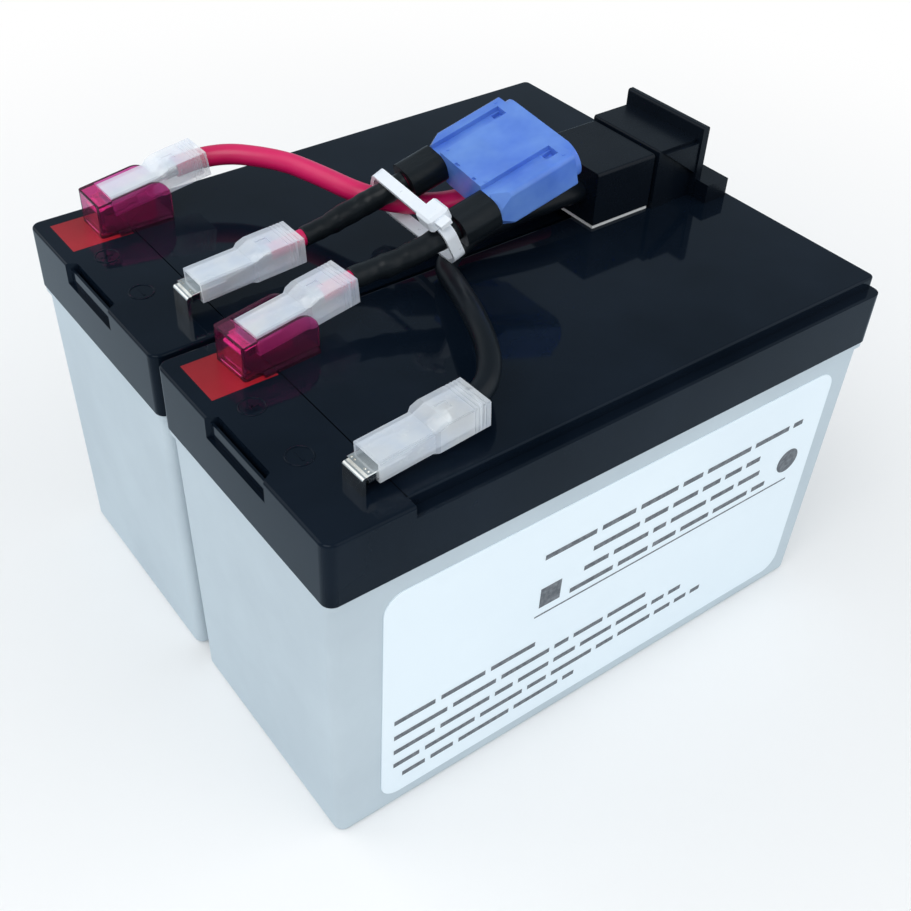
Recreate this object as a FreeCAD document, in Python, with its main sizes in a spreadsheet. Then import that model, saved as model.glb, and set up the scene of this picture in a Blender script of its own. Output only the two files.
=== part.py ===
import FreeCAD, Part
import math
import os
import re
import Sketcher

# Twin-battery cartridge for an uninterruptible power supply.
# Two sealed lead-acid batteries stand side by side, held by foam tape. A short wiring
# harness joins them in series through a blade fuse and ends in a two-pole connector.
# X runs along the batteries (terminals at -X, connector at +X), Y across them, Z up.
# The origin is on the ground under the middle of the pair.

V = FreeCAD.Vector
doc = FreeCAD.newDocument("BatteryCartridge")
sheet = doc.addObject("Spreadsheet::Sheet", "Dimensions")

DIMENSIONS = [
    # Battery block
    ("battery_length", 151.0, "overall length of one battery"),
    ("battery_width", 65.0, "overall width of one battery"),
    ("battery_gap", 1.5, "space between the two lids"),
    ("case_top", 78.0, "height where the case meets the lid skirt"),
    ("lid_top", 94.0, "height of the lid"),
    ("corner_radius", 2.5, "vertical corners of case and lid"),
    ("case_inset", 0.9, "case wall behind the lid skirt"),
    ("case_draft", 0.6, "draft of the case walls, in degrees"),
    ("case_wall", 1.9, "outer wall of the case"),
    ("case_floor", 2.4, "floor of the case"),
    ("rim_height", 1.6, "bead round the top of the case"),
    ("rim_inset", 0.3, "bead behind the lid skirt"),
    ("spigot_height", 2.4, "neck of the case inside the lid"),
    ("spigot_inset", 2.5, "neck behind the lid skirt"),
    ("cell_walls", 1.4, "partition between two cells"),
    ("cell_columns", 3.0, "cells along one battery"),
    ("bar_spread", 14.0, "plate bar from the middle of its cell"),
    ("bar_height", 4.0, "plate bar above the plates"),
    ("plate_top", 64.0, "top of the plates"),
    ("base_round", 1.6, "rounding under the case"),
    # Lid
    ("lid_wall", 2.1, "skirt of the lid"),
    ("roof_under", 88.0, "underside of the lid roof"),
    ("shoulder_top", 91.0, "top of the lid under the vent cover"),
    ("shoulder_width", 3.0, "ledge beside the vent cover"),
    ("cover_start", -56.0, "terminal end of the vent cover"),
    ("edge_round", 0.7, "rounding along the lid's top edges"),
    ("notch_outer", 11.3, "half length of the grip notch at the face"),
    ("notch_inner", 9.8, "half length of the grip notch inside"),
    ("notch_depth", 2.4, "depth of the grip notch"),
    ("notch_floor", 88.7, "bottom of the grip notch"),
    ("notch_rib_out", 0.9, "face to the rib in the grip notch"),
    ("notch_rib", 0.6, "thickness of that rib"),
    ("notch_rib_top", 92.6, "top of that rib"),
    ("well_start", -71.8, "terminal well, outer end"),
    ("well_end", -56.6, "terminal well, inner end"),
    ("well_width", 13.6, "width of a terminal well"),
    ("well_floor", 90.2, "floor of a terminal well"),
    ("vent_boss", 7.4, "radius of a vent boss"),
    ("vent_boss_under", 83.4, "underside of a vent boss"),
    ("vent_well", 6.2, "radius of a vent well"),
    ("vent_well_floor", 85.0, "floor of a vent well"),
    ("vent_tube", 3.2, "radius of a vent tube"),
    ("vent_tube_top", 89.4, "top of a vent tube"),
    ("vent_bore", 1.6, "radius of the vent bore"),
    ("valve_cap", 4.8, "radius of a rubber valve cap"),
    ("valve_cap_low", 85.8, "lower edge of a valve cap"),
    # Terminals
    ("tab_offset", 21.7, "terminal tab from the battery's middle"),
    ("tab_root", -62.4, "upright leg of a tab"),
    ("tab_level", 99.4, "middle of the flat leg at the bend"),
    ("tab_foot", 83.0, "lower end of the upright leg"),
    ("tab_width", 6.35, "width of a tab"),
    ("tab_thick", 0.8, "thickness of a tab"),
    ("tab_reach", 8.6, "length of the flat leg"),
    ("tab_bend", 0.7, "outer bend radius of a tab"),
    ("slot_width", 7.4, "lid slot for a tab, across"),
    ("slot_length", 2.6, "lid slot for a tab, along"),
    # Clear guards round the positive terminals
    ("guard_back", 1.6, "guard wall behind the tab"),
    ("guard_length", 18.6, "length of a guard"),
    ("guard_width", 10.9, "width of a guard"),
    ("guard_height", 8.2, "height of a guard at its closed end"),
    ("guard_wall", 0.7, "wall of a guard"),
    ("guard_floor", 0.7, "floor of a guard"),
    ("guard_roof_end", 2.3, "edge of the roof over the closed end"),
    ("guard_round", 4.5, "rounded upper corner of a guard"),
    ("guard_corner", 0.8, "rounded upright corner of a guard"),
    ("guard_foot_half", 6.7, "half width across the feet of a guard"),
    ("guard_foot_thick", 0.8, "thickness of those feet"),
    # Push-on receptacles and their boots, in the frame of the tab's flat leg
    ("clip_start", 0.8, "receptacle mouth from the tab leg"),
    ("clip_length", 8.4, "length of the rolled part"),
    ("clip_half", 3.45, "half width of a receptacle"),
    ("clip_under", -1.4, "underside of the rolled edges"),
    ("clip_over", 1.0, "flat top of a receptacle"),
    ("wire_level", 1.1, "wire above the flat leg"),
    ("barrel_start", 18.2, "start of the crimp barrel"),
    ("barrel_end", 21.5, "end of the crimp barrel"),
    ("barrel_radius", 2.0, "radius of the crimp barrel"),
    ("boot_start", 3.0, "mouth of a boot"),
    ("boot_end", 28.4, "wire end of a boot"),
    ("boot_step", 15.6, "where a boot widens"),
    ("boot_slope", 3.0, "length of the slope on top"),
    ("boot_half_front", 4.1, "half width of the mouth part"),
    ("boot_half_rear", 4.65, "half width of the wire part"),
    ("boot_under", -2.0, "underside of a boot"),
    ("boot_over_front", 3.1, "top of the mouth part"),
    ("boot_over_rear", 4.2, "top of the wire part"),
    ("boot_floor", -1.5, "floor inside a boot"),
    ("boot_bore", 2.7, "radius of the wire hole"),
    ("boot_round", 0.6, "rounding along a boot"),
    ("grip_pitch", 0.9, "spacing of the fine grip grooves"),
    ("grip_width", 0.35, "width of a grip groove"),
    ("grip_depth", 0.15, "depth of a grip groove"),
    # Leads
    ("lead_diameter", 5.0, "red and black leads"),
    ("fuse_lead_diameter", 4.0, "leads to the fuse"),
    ("sleeve_diameter", 5.2, "shrink sleeve over a fuse lead"),
    # Blade fuse, in its own tilted frame
    ("fuse_x", 12.3, "middle of the fuse"),
    ("fuse_y", -2.9, "middle of the fuse"),
    ("fuse_z", 115.1, "middle of the fuse"),
    ("fuse_yaw", -4.3, "turn about Z, in degrees"),
    ("fuse_pitch", 17.0, "rise towards +X, in degrees"),
    ("fuse_roll", 3.7, "lift of the +Y side, in degrees"),
    ("fuse_length", 22.1, "body along the blades"),
    ("fuse_width", 29.3, "body across the blades"),
    ("fuse_thick", 8.9, "thickness of the body"),
    ("fuse_cap", 1.65, "rounded end behind the shoulder"),
    ("fuse_cap_inset", 0.45, "that end behind the sides"),
    ("fuse_side_round", 1.2, "rounding along the sides of the body"),
    ("fuse_facet_run", 4.45, "corner facet, along the body"),
    ("fuse_facet_across", 3.15, "corner facet, across the body"),
    ("fuse_facet_drop", 3.4, "corner facet, down the end"),
    ("groove_inner", 8.0, "inner side of a long groove"),
    ("groove_outer", 11.5, "outer side of a long groove"),
    ("groove_end", 7.3, "closed end of a long groove"),
    ("groove_depth", 1.2, "depth of a long groove"),
    ("fuse_spread", 10.6, "blade from the middle"),
    ("blade_width", 7.2, "width of a fuse blade"),
    ("blade_thick", 0.8, "thickness of a fuse blade"),
    ("blade_reach", 6.4, "length of a fuse blade"),
    ("hood_length", 9.0, "flat sleeve over a fuse blade"),
    ("hood_width", 9.0, "width of that sleeve"),
    ("hood_thick", 6.9, "thickness of that sleeve"),
    ("hood_round", 2.7, "rounding along that sleeve"),
    # Connector
    ("plug_x", 34.8, "lead end of the connector cover"),
    ("plug_split", 52.9, "joint between cover and housing"),
    ("plug_groove", 0.8, "width of the groove at that joint"),
    ("plug_half", 11.1, "half width of the cover"),
    ("plug_under", 95.0, "underside of the cover"),
    ("plug_top", 108.5, "top of the cover"),
    ("housing_half", 11.7, "half width of the housing"),
    ("housing_top", 109.2, "top of the housing"),
    ("flange_x", 66.2, "start of the pull flange"),
    ("flange_thick", 2.0, "thickness of the pull flange"),
    ("flange_half", 13.3, "half width of the pull flange"),
    ("flange_top", 112.6, "top of the pull flange"),
    ("gusset_start", 55.0, "thin end of a gusset"),
    ("gusset_top", 108.5, "top of a gusset"),
    ("gusset_foot", 100.2, "lower end of a gusset"),
    ("gusset_thick", 1.2, "thickness of a gusset"),
    ("step_end", 73.8, "outer end of the low step"),
    ("step_half", 17.3, "half width of the low step"),
    ("step_top", 98.9, "top of the low step"),
    ("socket_spread", 5.4, "socket from the middle"),
    ("socket_width", 8.6, "width of a socket"),
    ("socket_low", 99.6, "floor of a socket"),
    ("socket_high", 107.4, "roof of a socket"),
    ("socket_depth", 10.4, "depth of a socket"),
    ("contact_reach", 8.0, "contact blade inside a socket"),
    ("entry_spread", 5.2, "lead entry from the middle"),
    ("entry_level", 101.6, "height of the lead entries"),
    ("entry_depth", 5.0, "depth of the lead entries"),
    ("pad_inset", 0.3, "foam pad behind the cover's edges"),
    # Cable tie
    ("tie_x", -8.0, "middle of the cable tie"),
    ("tie_z", 104.0, "middle of the cable tie"),
    ("tie_lean", 25.0, "lean of the loop, in degrees"),
    ("tie_swing", -3.0, "swing of the loop, in degrees"),
    ("tie_back", 12.4, "inside of the loop, +Y side at the top"),
    ("tie_back_low", 20.0, "inside of the loop, +Y side round the red lead"),
    ("tie_front", 14.6, "inside of the loop, -Y side"),
    ("tie_over", 8.1, "inside of the loop, top at the +Y side"),
    ("tie_drop", 0.9, "fall of the top towards the head"),
    ("tie_under", 3.0, "inside of the loop, below its middle"),
    ("tie_round", 1.8, "corner radius of the loop"),
    ("tie_width", 2.8, "width of the strap"),
    ("tie_thick", 1.0, "thickness of the strap"),
    ("tie_head", 5.6, "side of the head"),
    ("tie_head_y", -11.0, "middle of the head"),
    ("tie_head_rise", 3.8, "height of the head"),
    # Label and foam
    ("label_left", -62.6, "label, -X edge"),
    ("label_right", 67.2, "label, +X edge"),
    ("label_low", 4.6, "label, lower edge"),
    ("label_high", 72.2, "label, upper edge"),
    ("label_thick", 0.25, "thickness of the label"),
    ("label_round", 5.0, "corner radius of the label"),
    ("foam_half", 62.0, "half length of the foam tape"),
    ("foam_low", 36.0, "lower edge of the foam tape"),
    ("foam_high", 68.0, "upper edge of the foam tape"),
]

for row, (alias, value, note) in enumerate(DIMENSIONS, start=1):
    sheet.set(f"A{row}", alias)
    sheet.set(f"B{row}", str(value))
    sheet.set(f"C{row}", note)
    sheet.setAlias(f"B{row}", alias)
doc.recompute()

ALIASES = {entry[0] for entry in DIMENSIONS}
SUBPARTS = []


def size(expression):
    """The number that an expression in the sheet's aliases comes to."""
    return float(sheet.evalExpression(expression))


def bound(expression):
    """The same expression, written for an object outside the sheet."""
    return re.sub(r"[a-z_]+", lambda word: sheet_name(word.group()), expression)


def sheet_name(word):
    return f"Dimensions.{word}" if word in ALIASES else word


def keep(thing, label):
    """Name a finished sub-part, so that it is checked and exported."""
    thing.Label = label
    SUBPARTS.append(thing)
    return thing


# ---------------------------------------------------------------- sketch helpers


def new_body(label, several=False):
    body = doc.addObject("PartDesign::Body", label)
    body.AllowCompound = several
    return keep(body, label)


def new_sketch(body, name, role, level="0"):
    """A sketch on one of the body's origin planes, raised by level along its normal."""
    sketch = body.newObject("Sketcher::SketchObject", name)
    plane = next(f for f in body.Origin.OriginFeatures if f.Role == role)
    sketch.AttachmentSupport = [(plane, "")]
    sketch.MapMode = "FlatFace"
    sketch.AttachmentOffset = FreeCAD.Placement(V(0, 0, size(level)), FreeCAD.Rotation())
    sketch.setExpression(".AttachmentOffset.Base.z", bound(level))
    return sketch


def pin_point(sketch, line, end, across, up):
    """Hold one end of a line at a place given by two expressions."""
    for kind, text in (("DistanceX", across), ("DistanceY", up)):
        rule = sketch.addConstraint(Sketcher.Constraint(kind, -1, 1, line, end, size(text)))
        sketch.setExpression(f"Constraints[{rule}]", bound(text))


def add_outline(sketch, points):
    """A closed outline of straight lines through points given as expressions."""
    places = [V(size(across), size(up), 0) for across, up in points]
    first = sketch.GeometryCount
    count = len(points)
    for i in range(count):
        sketch.addGeometry(Part.LineSegment(places[i], places[(i + 1) % count]), False)
    for i in range(count):
        after = first + (i + 1) % count
        sketch.addConstraint(Sketcher.Constraint("Coincident", first + i, 2, after, 1))
    for i, (across, up) in enumerate(points):
        pin_point(sketch, first + i, 1, across, up)


def add_box(sketch, left, right, low, high):
    add_outline(sketch, [(left, low), (right, low), (right, high), (left, high)])


def add_circle(sketch, across, up, radius):
    centre = V(size(across), size(up), 0)
    ring = sketch.addGeometry(Part.Circle(centre, V(0, 0, 1), size(radius)), False)
    rule = sketch.addConstraint(Sketcher.Constraint("Radius", ring, size(radius)))
    sketch.setExpression(f"Constraints[{rule}]", bound(radius))
    pin_point(sketch, ring, 3, across, up)


def pad(body, sketch, length, both_ways=False, reverse=False, taper=None):
    feature = body.newObject("PartDesign::Pad", sketch.Name + "Pad")
    feature.Profile = sketch
    feature.Length = size(length)
    feature.setExpression("Length", bound(length))
    feature.SideType = "Symmetric" if both_ways else "One side"
    feature.Reversed = reverse
    if taper:
        feature.TaperAngle = size(taper)
        feature.setExpression("TaperAngle", bound(taper))
    doc.recompute()
    return feature


def pocket(body, sketch, depth=None, both_ways=False, reverse=False, taper=None):
    """Cut a sketch's outline out of the body; without a depth it goes right through."""
    before = body.Shape.Volume
    feature = body.newObject("PartDesign::Pocket", sketch.Name + "Pocket")
    feature.Profile = sketch
    feature.SideType = "Symmetric" if both_ways else "One side"
    feature.Reversed = reverse
    if depth:
        feature.Length = size(depth)
        feature.setExpression("Length", bound(depth))
    else:
        feature.Type = "ThroughAll"
    if taper:
        feature.TaperAngle = size(taper)
        feature.setExpression("TaperAngle", bound(taper))
    doc.recompute()
    if body.Shape.Volume >= before - 1e-6:
        raise RuntimeError(f"{sketch.Name} cuts nothing")
    return feature


def soften(body, name, radius, test, chamfer=False):
    """Round, or bevel, each edge of the body's last feature that passes a test."""
    tip = body.Tip
    edges = []
    for number, edge in enumerate(tip.Shape.Edges, start=1):
        middle = edge.valueAt((edge.FirstParameter + edge.LastParameter) / 2)
        ends = [vertex.Point for vertex in edge.Vertexes]
        if len(ends) == 2 and test(middle, ends[1] - ends[0]):
            edges.append(f"Edge{number}")
    if not edges:
        raise RuntimeError(f"{name} finds no edge")
    kind = "PartDesign::Chamfer" if chamfer else "PartDesign::Fillet"
    feature = body.newObject(kind, name)
    feature.Base = (tip, edges)
    side = "Size" if chamfer else "Radius"
    setattr(feature, side, size(radius))
    feature.setExpression(side, bound(radius))
    doc.recompute()
    return feature


def along(direction, axis):
    """Whether a direction runs along one axis: 0 for X, 1 for Y, 2 for Z."""
    parts = [abs(direction.x), abs(direction.y), abs(direction.z)]
    length = parts.pop(axis)
    return length > 1e-6 and max(parts) < 0.02 * length


def near(value, target, slack=0.05):
    return abs(value - target) < slack


def place(body, across, along_y, up, turn=None):
    """Put a body at a point given by expressions, turned by a rotation."""
    body.Placement = FreeCAD.Placement(
        V(size(across), size(along_y), size(up)), turn or FreeCAD.Rotation()
    )
    for axis, text in (("x", across), ("y", along_y), ("z", up)):
        body.setExpression(f".Placement.Base.{axis}", bound(text))


# ---------------------------------------------------------------- battery

HALF_LENGTH = "battery_length / 2"
HALF_WIDTH = "battery_width / 2"
PITCH_X = "((battery_length - 2 * case_inset - 2 * case_wall + cell_walls) / cell_columns)"
PITCH_Y = "(battery_width / 2 - case_inset - case_wall + cell_walls / 2)"
COLUMNS = range(int(size("cell_columns")))
ROWS = ("-", "")
CELLS = [(column, row) for row in ROWS for column in COLUMNS]


def cell_x(column):
    """The X of a cell's middle, as an expression."""
    return f"({column} - (cell_columns - 1) / 2) * {PITCH_X}"


def cell_y(row):
    """The Y of a cell's middle, as an expression; row is the sign of its side."""
    return f"{row}{PITCH_Y} / 2"


def vent_x(column):
    """The X of a vent, which stands over its cell but clear of the terminal wells."""
    return f"({cell_x(column)} * 0.94 + 3)"


def upright_corner(middle, direction):
    return along(direction, 2)


def round_block(body, name, inset, level, height, radius, reverse=False, taper=None):
    """A block with the battery's outline, drawn in by an inset and rounded at its corners."""
    sketch = new_sketch(body, name, "XY_Plane", level)
    reach = f"{HALF_LENGTH} - {inset}"
    side = f"{HALF_WIDTH} - {inset}"
    add_box(sketch, f"-({reach})", reach, f"-({side})", side)
    return pad(body, sketch, height, reverse=reverse, taper=taper)


def build_case(label, middle_y):
    """Six-cell case with drafted walls, a bead under the lid and a neck inside it."""
    body = new_body(label)
    round_block(body, label + "Walls", "case_inset", "case_top", "case_top", "corner_radius",
                reverse=True, taper="-case_draft")
    soften(body, label + "Corners", "corner_radius", lambda m, d: abs(d.z) > 50)
    soften(body, label + "Base", "base_round", lambda m, d: near(m.z, 0))
    round_block(body, label + "Rim", "rim_inset", "case_top - rim_height", "rim_height",
                "corner_radius")
    soften(body, label + "RimCorners", "corner_radius - rim_inset",
           lambda m, d: along(d, 2) and near(m.z, size("case_top - rim_height / 2")))
    round_block(body, label + "Neck", "spigot_inset", "case_top", "spigot_height",
                "corner_radius")
    cells = new_sketch(body, label + "Cells", "XY_Plane", "case_top + spigot_height")
    half_x = f"({PITCH_X} - cell_walls) / 2"
    half_y = f"({PITCH_Y} - cell_walls) / 2"
    for column, row in CELLS:
        add_box(cells, f"{cell_x(column)} - {half_x}", f"{cell_x(column)} + {half_x}",
                f"{cell_y(row)} - {half_y}", f"{cell_y(row)} + {half_y}")
    pocket(body, cells, "case_top + spigot_height - case_floor")
    place(body, "0", middle_y, "0")


def build_lid(label, middle_y):
    """Black lid: skirt, terminal wells, vent wells, grip notch and a bed for the vent cover."""
    body = new_body(label)
    round_block(body, label + "Skirt", "0", "case_top", "lid_top - case_top", "corner_radius")
    soften(body, label + "Corners", "corner_radius", upright_corner)

    bed = new_sketch(body, label + "Bed", "XY_Plane", "lid_top")
    add_box(bed, "cover_start", f"{HALF_LENGTH} + 1", f"-({HALF_WIDTH} + 1)", f"{HALF_WIDTH} + 1")
    pocket(body, bed, "lid_top - shoulder_top")

    hollow = new_sketch(body, label + "Hollow", "XY_Plane", "case_top")
    reach = f"({HALF_LENGTH} - lid_wall)"
    side = f"({HALF_WIDTH} - lid_wall)"
    add_box(hollow, f"-{reach}", reach, f"-{side}", side)
    pocket(body, hollow, "roof_under - case_top", reverse=True)

    bosses = new_sketch(body, label + "VentBosses", "XY_Plane", "vent_boss_under")
    wells = new_sketch(body, label + "VentWells", "XY_Plane", "shoulder_top")
    tubes = new_sketch(body, label + "VentTubes", "XY_Plane", "vent_well_floor - 0.4")
    bores = new_sketch(body, label + "VentBores", "XY_Plane", "vent_tube_top")
    for column, row in CELLS:
        for sketch, radius in ((bosses, "vent_boss"), (wells, "vent_well"),
                               (tubes, "vent_tube"), (bores, "vent_bore")):
            add_circle(sketch, vent_x(column), cell_y(row), radius)
    pad(body, bosses, "roof_under - vent_boss_under + 0.5")
    pocket(body, wells, "shoulder_top - vent_well_floor")
    pad(body, tubes, "vent_tube_top - vent_well_floor + 0.4")
    pocket(body, bores, "vent_tube_top - vent_boss_under + 1")

    seats = new_sketch(body, label + "Wells", "XY_Plane", "lid_top")
    slots = new_sketch(body, label + "Slots", "XY_Plane", "well_floor")
    for sign in ("", "-"):
        add_box(seats, "well_start", "well_end", f"{sign}tab_offset - well_width / 2",
                f"{sign}tab_offset + well_width / 2")
        add_box(slots, "tab_root - slot_length / 2", "tab_root + slot_length / 2",
                f"{sign}tab_offset - slot_width / 2", f"{sign}tab_offset + slot_width / 2")
    pocket(body, seats, "lid_top - well_floor")
    pocket(body, slots, "well_floor - roof_under + 1")

    notch = new_sketch(body, label + "Notch", "XY_Plane", "lid_top")
    add_outline(notch, [
        (f"-{HALF_LENGTH} - 1", "-notch_outer"),
        (f"-{HALF_LENGTH}", "-notch_outer"),
        (f"-{HALF_LENGTH} + notch_depth", "-notch_inner"),
        (f"-{HALF_LENGTH} + notch_depth", "notch_inner"),
        (f"-{HALF_LENGTH}", "notch_outer"),
        (f"-{HALF_LENGTH} - 1", "notch_outer"),
    ])
    pocket(body, notch, "lid_top - notch_floor")
    rib = new_sketch(body, label + "NotchRib", "XY_Plane", "notch_floor - 0.3")
    add_box(rib, f"-{HALF_LENGTH} + notch_rib_out", f"-{HALF_LENGTH} + notch_rib_out + notch_rib",
            "-notch_outer - 0.2", "notch_outer + 0.2")
    pad(body, rib, "notch_rib_top - notch_floor + 0.3")

    top = size("lid_top")
    start = size("cover_start")
    inner = size(f"-{HALF_LENGTH} + notch_depth") + 0.3

    def top_rim(middle, direction):
        on_wall = near(abs(middle.y), size(HALF_WIDTH)) or near(middle.x, -size(HALF_LENGTH))
        corner = not along(direction, 0) and not along(direction, 1) and middle.x < inner
        outside = abs(middle.y) > size("tab_offset")
        return near(middle.z, top) and middle.x < start and (on_wall or (corner and outside))

    soften(body, label + "TopRim", "edge_round", top_rim)
    place(body, "0", middle_y, "0")


def build_vent_cover(label, middle_y):
    """Flat plate glued over the vent wells, flush with the terminal end of the lid."""
    body = new_body(label)
    plate = new_sketch(body, label + "Plate", "XY_Plane", "shoulder_top")
    side = f"({HALF_WIDTH} - shoulder_width)"
    add_box(plate, "cover_start", HALF_LENGTH, f"-{side}", side)
    pad(body, plate, "lid_top - shoulder_top")
    end = size(HALF_LENGTH)
    soften(body, label + "Corners", "corner_radius - 1", lambda m, d: along(d, 2) and near(m.x, end))
    top = size("lid_top")
    start = size("cover_start")
    soften(body, label + "Rim", "edge_round * 0.7",
           lambda m, d: near(m.z, top) and not near(m.x, start))
    place(body, "0", middle_y, "0")


def build_valve_caps(label, middle_y):
    """Rubber caps pushed over the vent tubes, held down by the vent cover."""
    body = new_body(label, several=True)
    caps = new_sketch(body, label + "Caps", "XY_Plane", "shoulder_top")
    bores = new_sketch(body, label + "Bores", "XY_Plane", "valve_cap_low")
    for column, row in CELLS:
        add_circle(caps, vent_x(column), cell_y(row), "valve_cap")
        add_circle(bores, vent_x(column), cell_y(row), "vent_tube")
    pad(body, caps, "shoulder_top - valve_cap_low", reverse=True)
    pocket(body, bores, "vent_tube_top - valve_cap_low", reverse=True)
    place(body, "0", middle_y, "0")


def build_plate_stacks(label, middle_y):
    """One pack of plates and separators for each cell, standing on the case floor."""
    body = new_body(label, several=True)
    packs = new_sketch(body, label + "Packs", "XY_Plane", "case_floor")
    half_x = f"({PITCH_X} - cell_walls - 1) / 2"
    half_y = f"({PITCH_Y} - cell_walls - 1) / 2"
    for column, row in CELLS:
        add_box(packs, f"{cell_x(column)} - {half_x}", f"{cell_x(column)} + {half_x}",
                f"{cell_y(row)} - {half_y}", f"{cell_y(row)} + {half_y}")
    pad(body, packs, "plate_top - case_floor")
    place(body, "0", middle_y, "0")


def build_cell_straps(label, middle_y):
    """Cast lead bars on the plates, bridges over the cell walls, and two terminal posts."""
    body = new_body(label, several=True)
    bars = new_sketch(body, label + "Bars", "XY_Plane", "plate_top")
    for column, row in CELLS:
        for side in ("-", "+"):
            middle = f"{cell_x(column)} {side} bar_spread"
            add_box(bars, f"{middle} - 2.5", f"{middle} + 2.5",
                    f"{cell_y(row)} - 10", f"{cell_y(row)} + 10")
    pad(body, bars, "bar_height")
    foot = "(plate_top + bar_height - 0.5)"
    arch = "(case_top + spigot_height + 0.2)"
    top = f"({arch} + 2.2)"
    for row in ROWS:
        name = label + ("Far" if row == "" else "Near")
        bridges = new_sketch(body, name, "XZ_Plane", f"-({cell_y(row)}) - 3")
        for column in COLUMNS[:-1]:
            wall = f"({cell_x(column)} + {PITCH_X} / 2)"
            add_arch(bridges, wall, f"({PITCH_X} / 2 - bar_spread)", foot, arch, top)
        pad(body, bridges, "6")
    last = f"{cell_x(COLUMNS[-1])} + bar_spread"
    crossing = new_sketch(body, label + "Crossing", "YZ_Plane", f"{last} - 2.5")
    add_arch(crossing, "0", "8", foot, arch, top)
    pad(body, crossing, "5")
    posts = new_sketch(body, label + "Posts", "XY_Plane", foot)
    for row in ROWS:
        add_box(posts, "tab_root - 2", "tab_root + 2", f"{row}tab_offset - 3",
                f"{row}tab_offset + 3")
    pad(body, posts, f"tab_foot - {foot}")
    place(body, "0", middle_y, "0")


def add_arch(sketch, middle, reach, foot, arch, top):
    """A square arch with legs 3 wide, centred on a cell wall."""
    add_outline(sketch, [
        (f"{middle} - {reach} - 1.5", foot), (f"{middle} - {reach} + 1.5", foot),
        (f"{middle} - {reach} + 1.5", arch), (f"{middle} + {reach} - 1.5", arch),
        (f"{middle} + {reach} - 1.5", foot), (f"{middle} + {reach} + 1.5", foot),
        (f"{middle} + {reach} + 1.5", top), (f"{middle} - {reach} - 1.5", top),
    ])


def build_seal(label, middle_y, sign, yaw):
    """Resin that fills a terminal well flush with the lid, round the tab."""
    body = new_body(label)
    fill = new_sketch(body, label + "Fill", "XY_Plane", "well_floor")
    add_box(fill, "well_start", "well_end", "-well_width / 2", "well_width / 2")
    pad(body, fill, "lid_top - well_floor")
    hole = new_sketch(body, label + "Hole", "XY_Plane", "lid_top")
    across = size("tab_width / 2")
    thick = size("tab_thick / 2")
    turn = math.radians(size(yaw))
    for_corners = [(-thick, -across), (thick, -across), (thick, across), (-thick, across)]
    corners = []
    for along_x, along_y in for_corners:
        shift_x = along_x * math.cos(turn) - along_y * math.sin(turn)
        shift_y = along_x * math.sin(turn) + along_y * math.cos(turn)
        corners.append((f"tab_root + {shift_x:.4f}", f"{shift_y:.4f}"))
    add_outline(hole, corners)
    pocket(body, hole)
    place(body, "0", f"{middle_y} {sign} tab_offset", "0")


def terminal_turn(pitch, yaw):
    """A tab's flat leg rises by its pitch and swings by its yaw."""
    return FreeCAD.Rotation(size(yaw), -size(pitch), 0)


def build_tab(label, middle_y, sign, level, pitch, yaw):
    """Blade bent over towards the middle of the battery, with its leg down in the lid."""
    body = new_body(label)
    rise = math.radians(size(pitch))
    half = size("tab_thick / 2")
    reach = size("tab_reach")
    drop = size(f"tab_foot - {level}")
    outer_s = (-half + half * math.sin(rise)) / math.cos(rise)
    inner_s = (half - half * math.sin(rise)) / math.cos(rise)

    def on_leg(run, lift):
        across = run * math.cos(rise) - lift * math.sin(rise)
        up = run * math.sin(rise) + lift * math.cos(rise)
        return (f"{across:.4f}", f"{up:.4f}")

    profile = new_sketch(body, label + "Profile", "XZ_Plane", "0")
    add_outline(profile, [
        (f"{-half:.4f}", f"{drop:.4f}"),
        (f"{half:.4f}", f"{drop:.4f}"),
        on_leg(inner_s, -half),
        on_leg(reach, -half),
        on_leg(reach, half),
        on_leg(outer_s, half),
    ])
    pad(body, profile, "tab_width", both_ways=True)
    soften(body, label + "Bend", "tab_bend", lambda m, d: along(d, 1) and m.x < 0 and m.z > -1)
    soften(body, label + "Tip", "tab_width / 5",
           lambda m, d: m.x > reach * 0.9 and near(abs(m.y), size("tab_width / 2")) and d.Length < 1,
           chamfer=True)
    place(body, "tab_root", f"{middle_y} {sign} tab_offset", level,
          FreeCAD.Rotation(V(0, 0, 1), size(yaw)))


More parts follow.
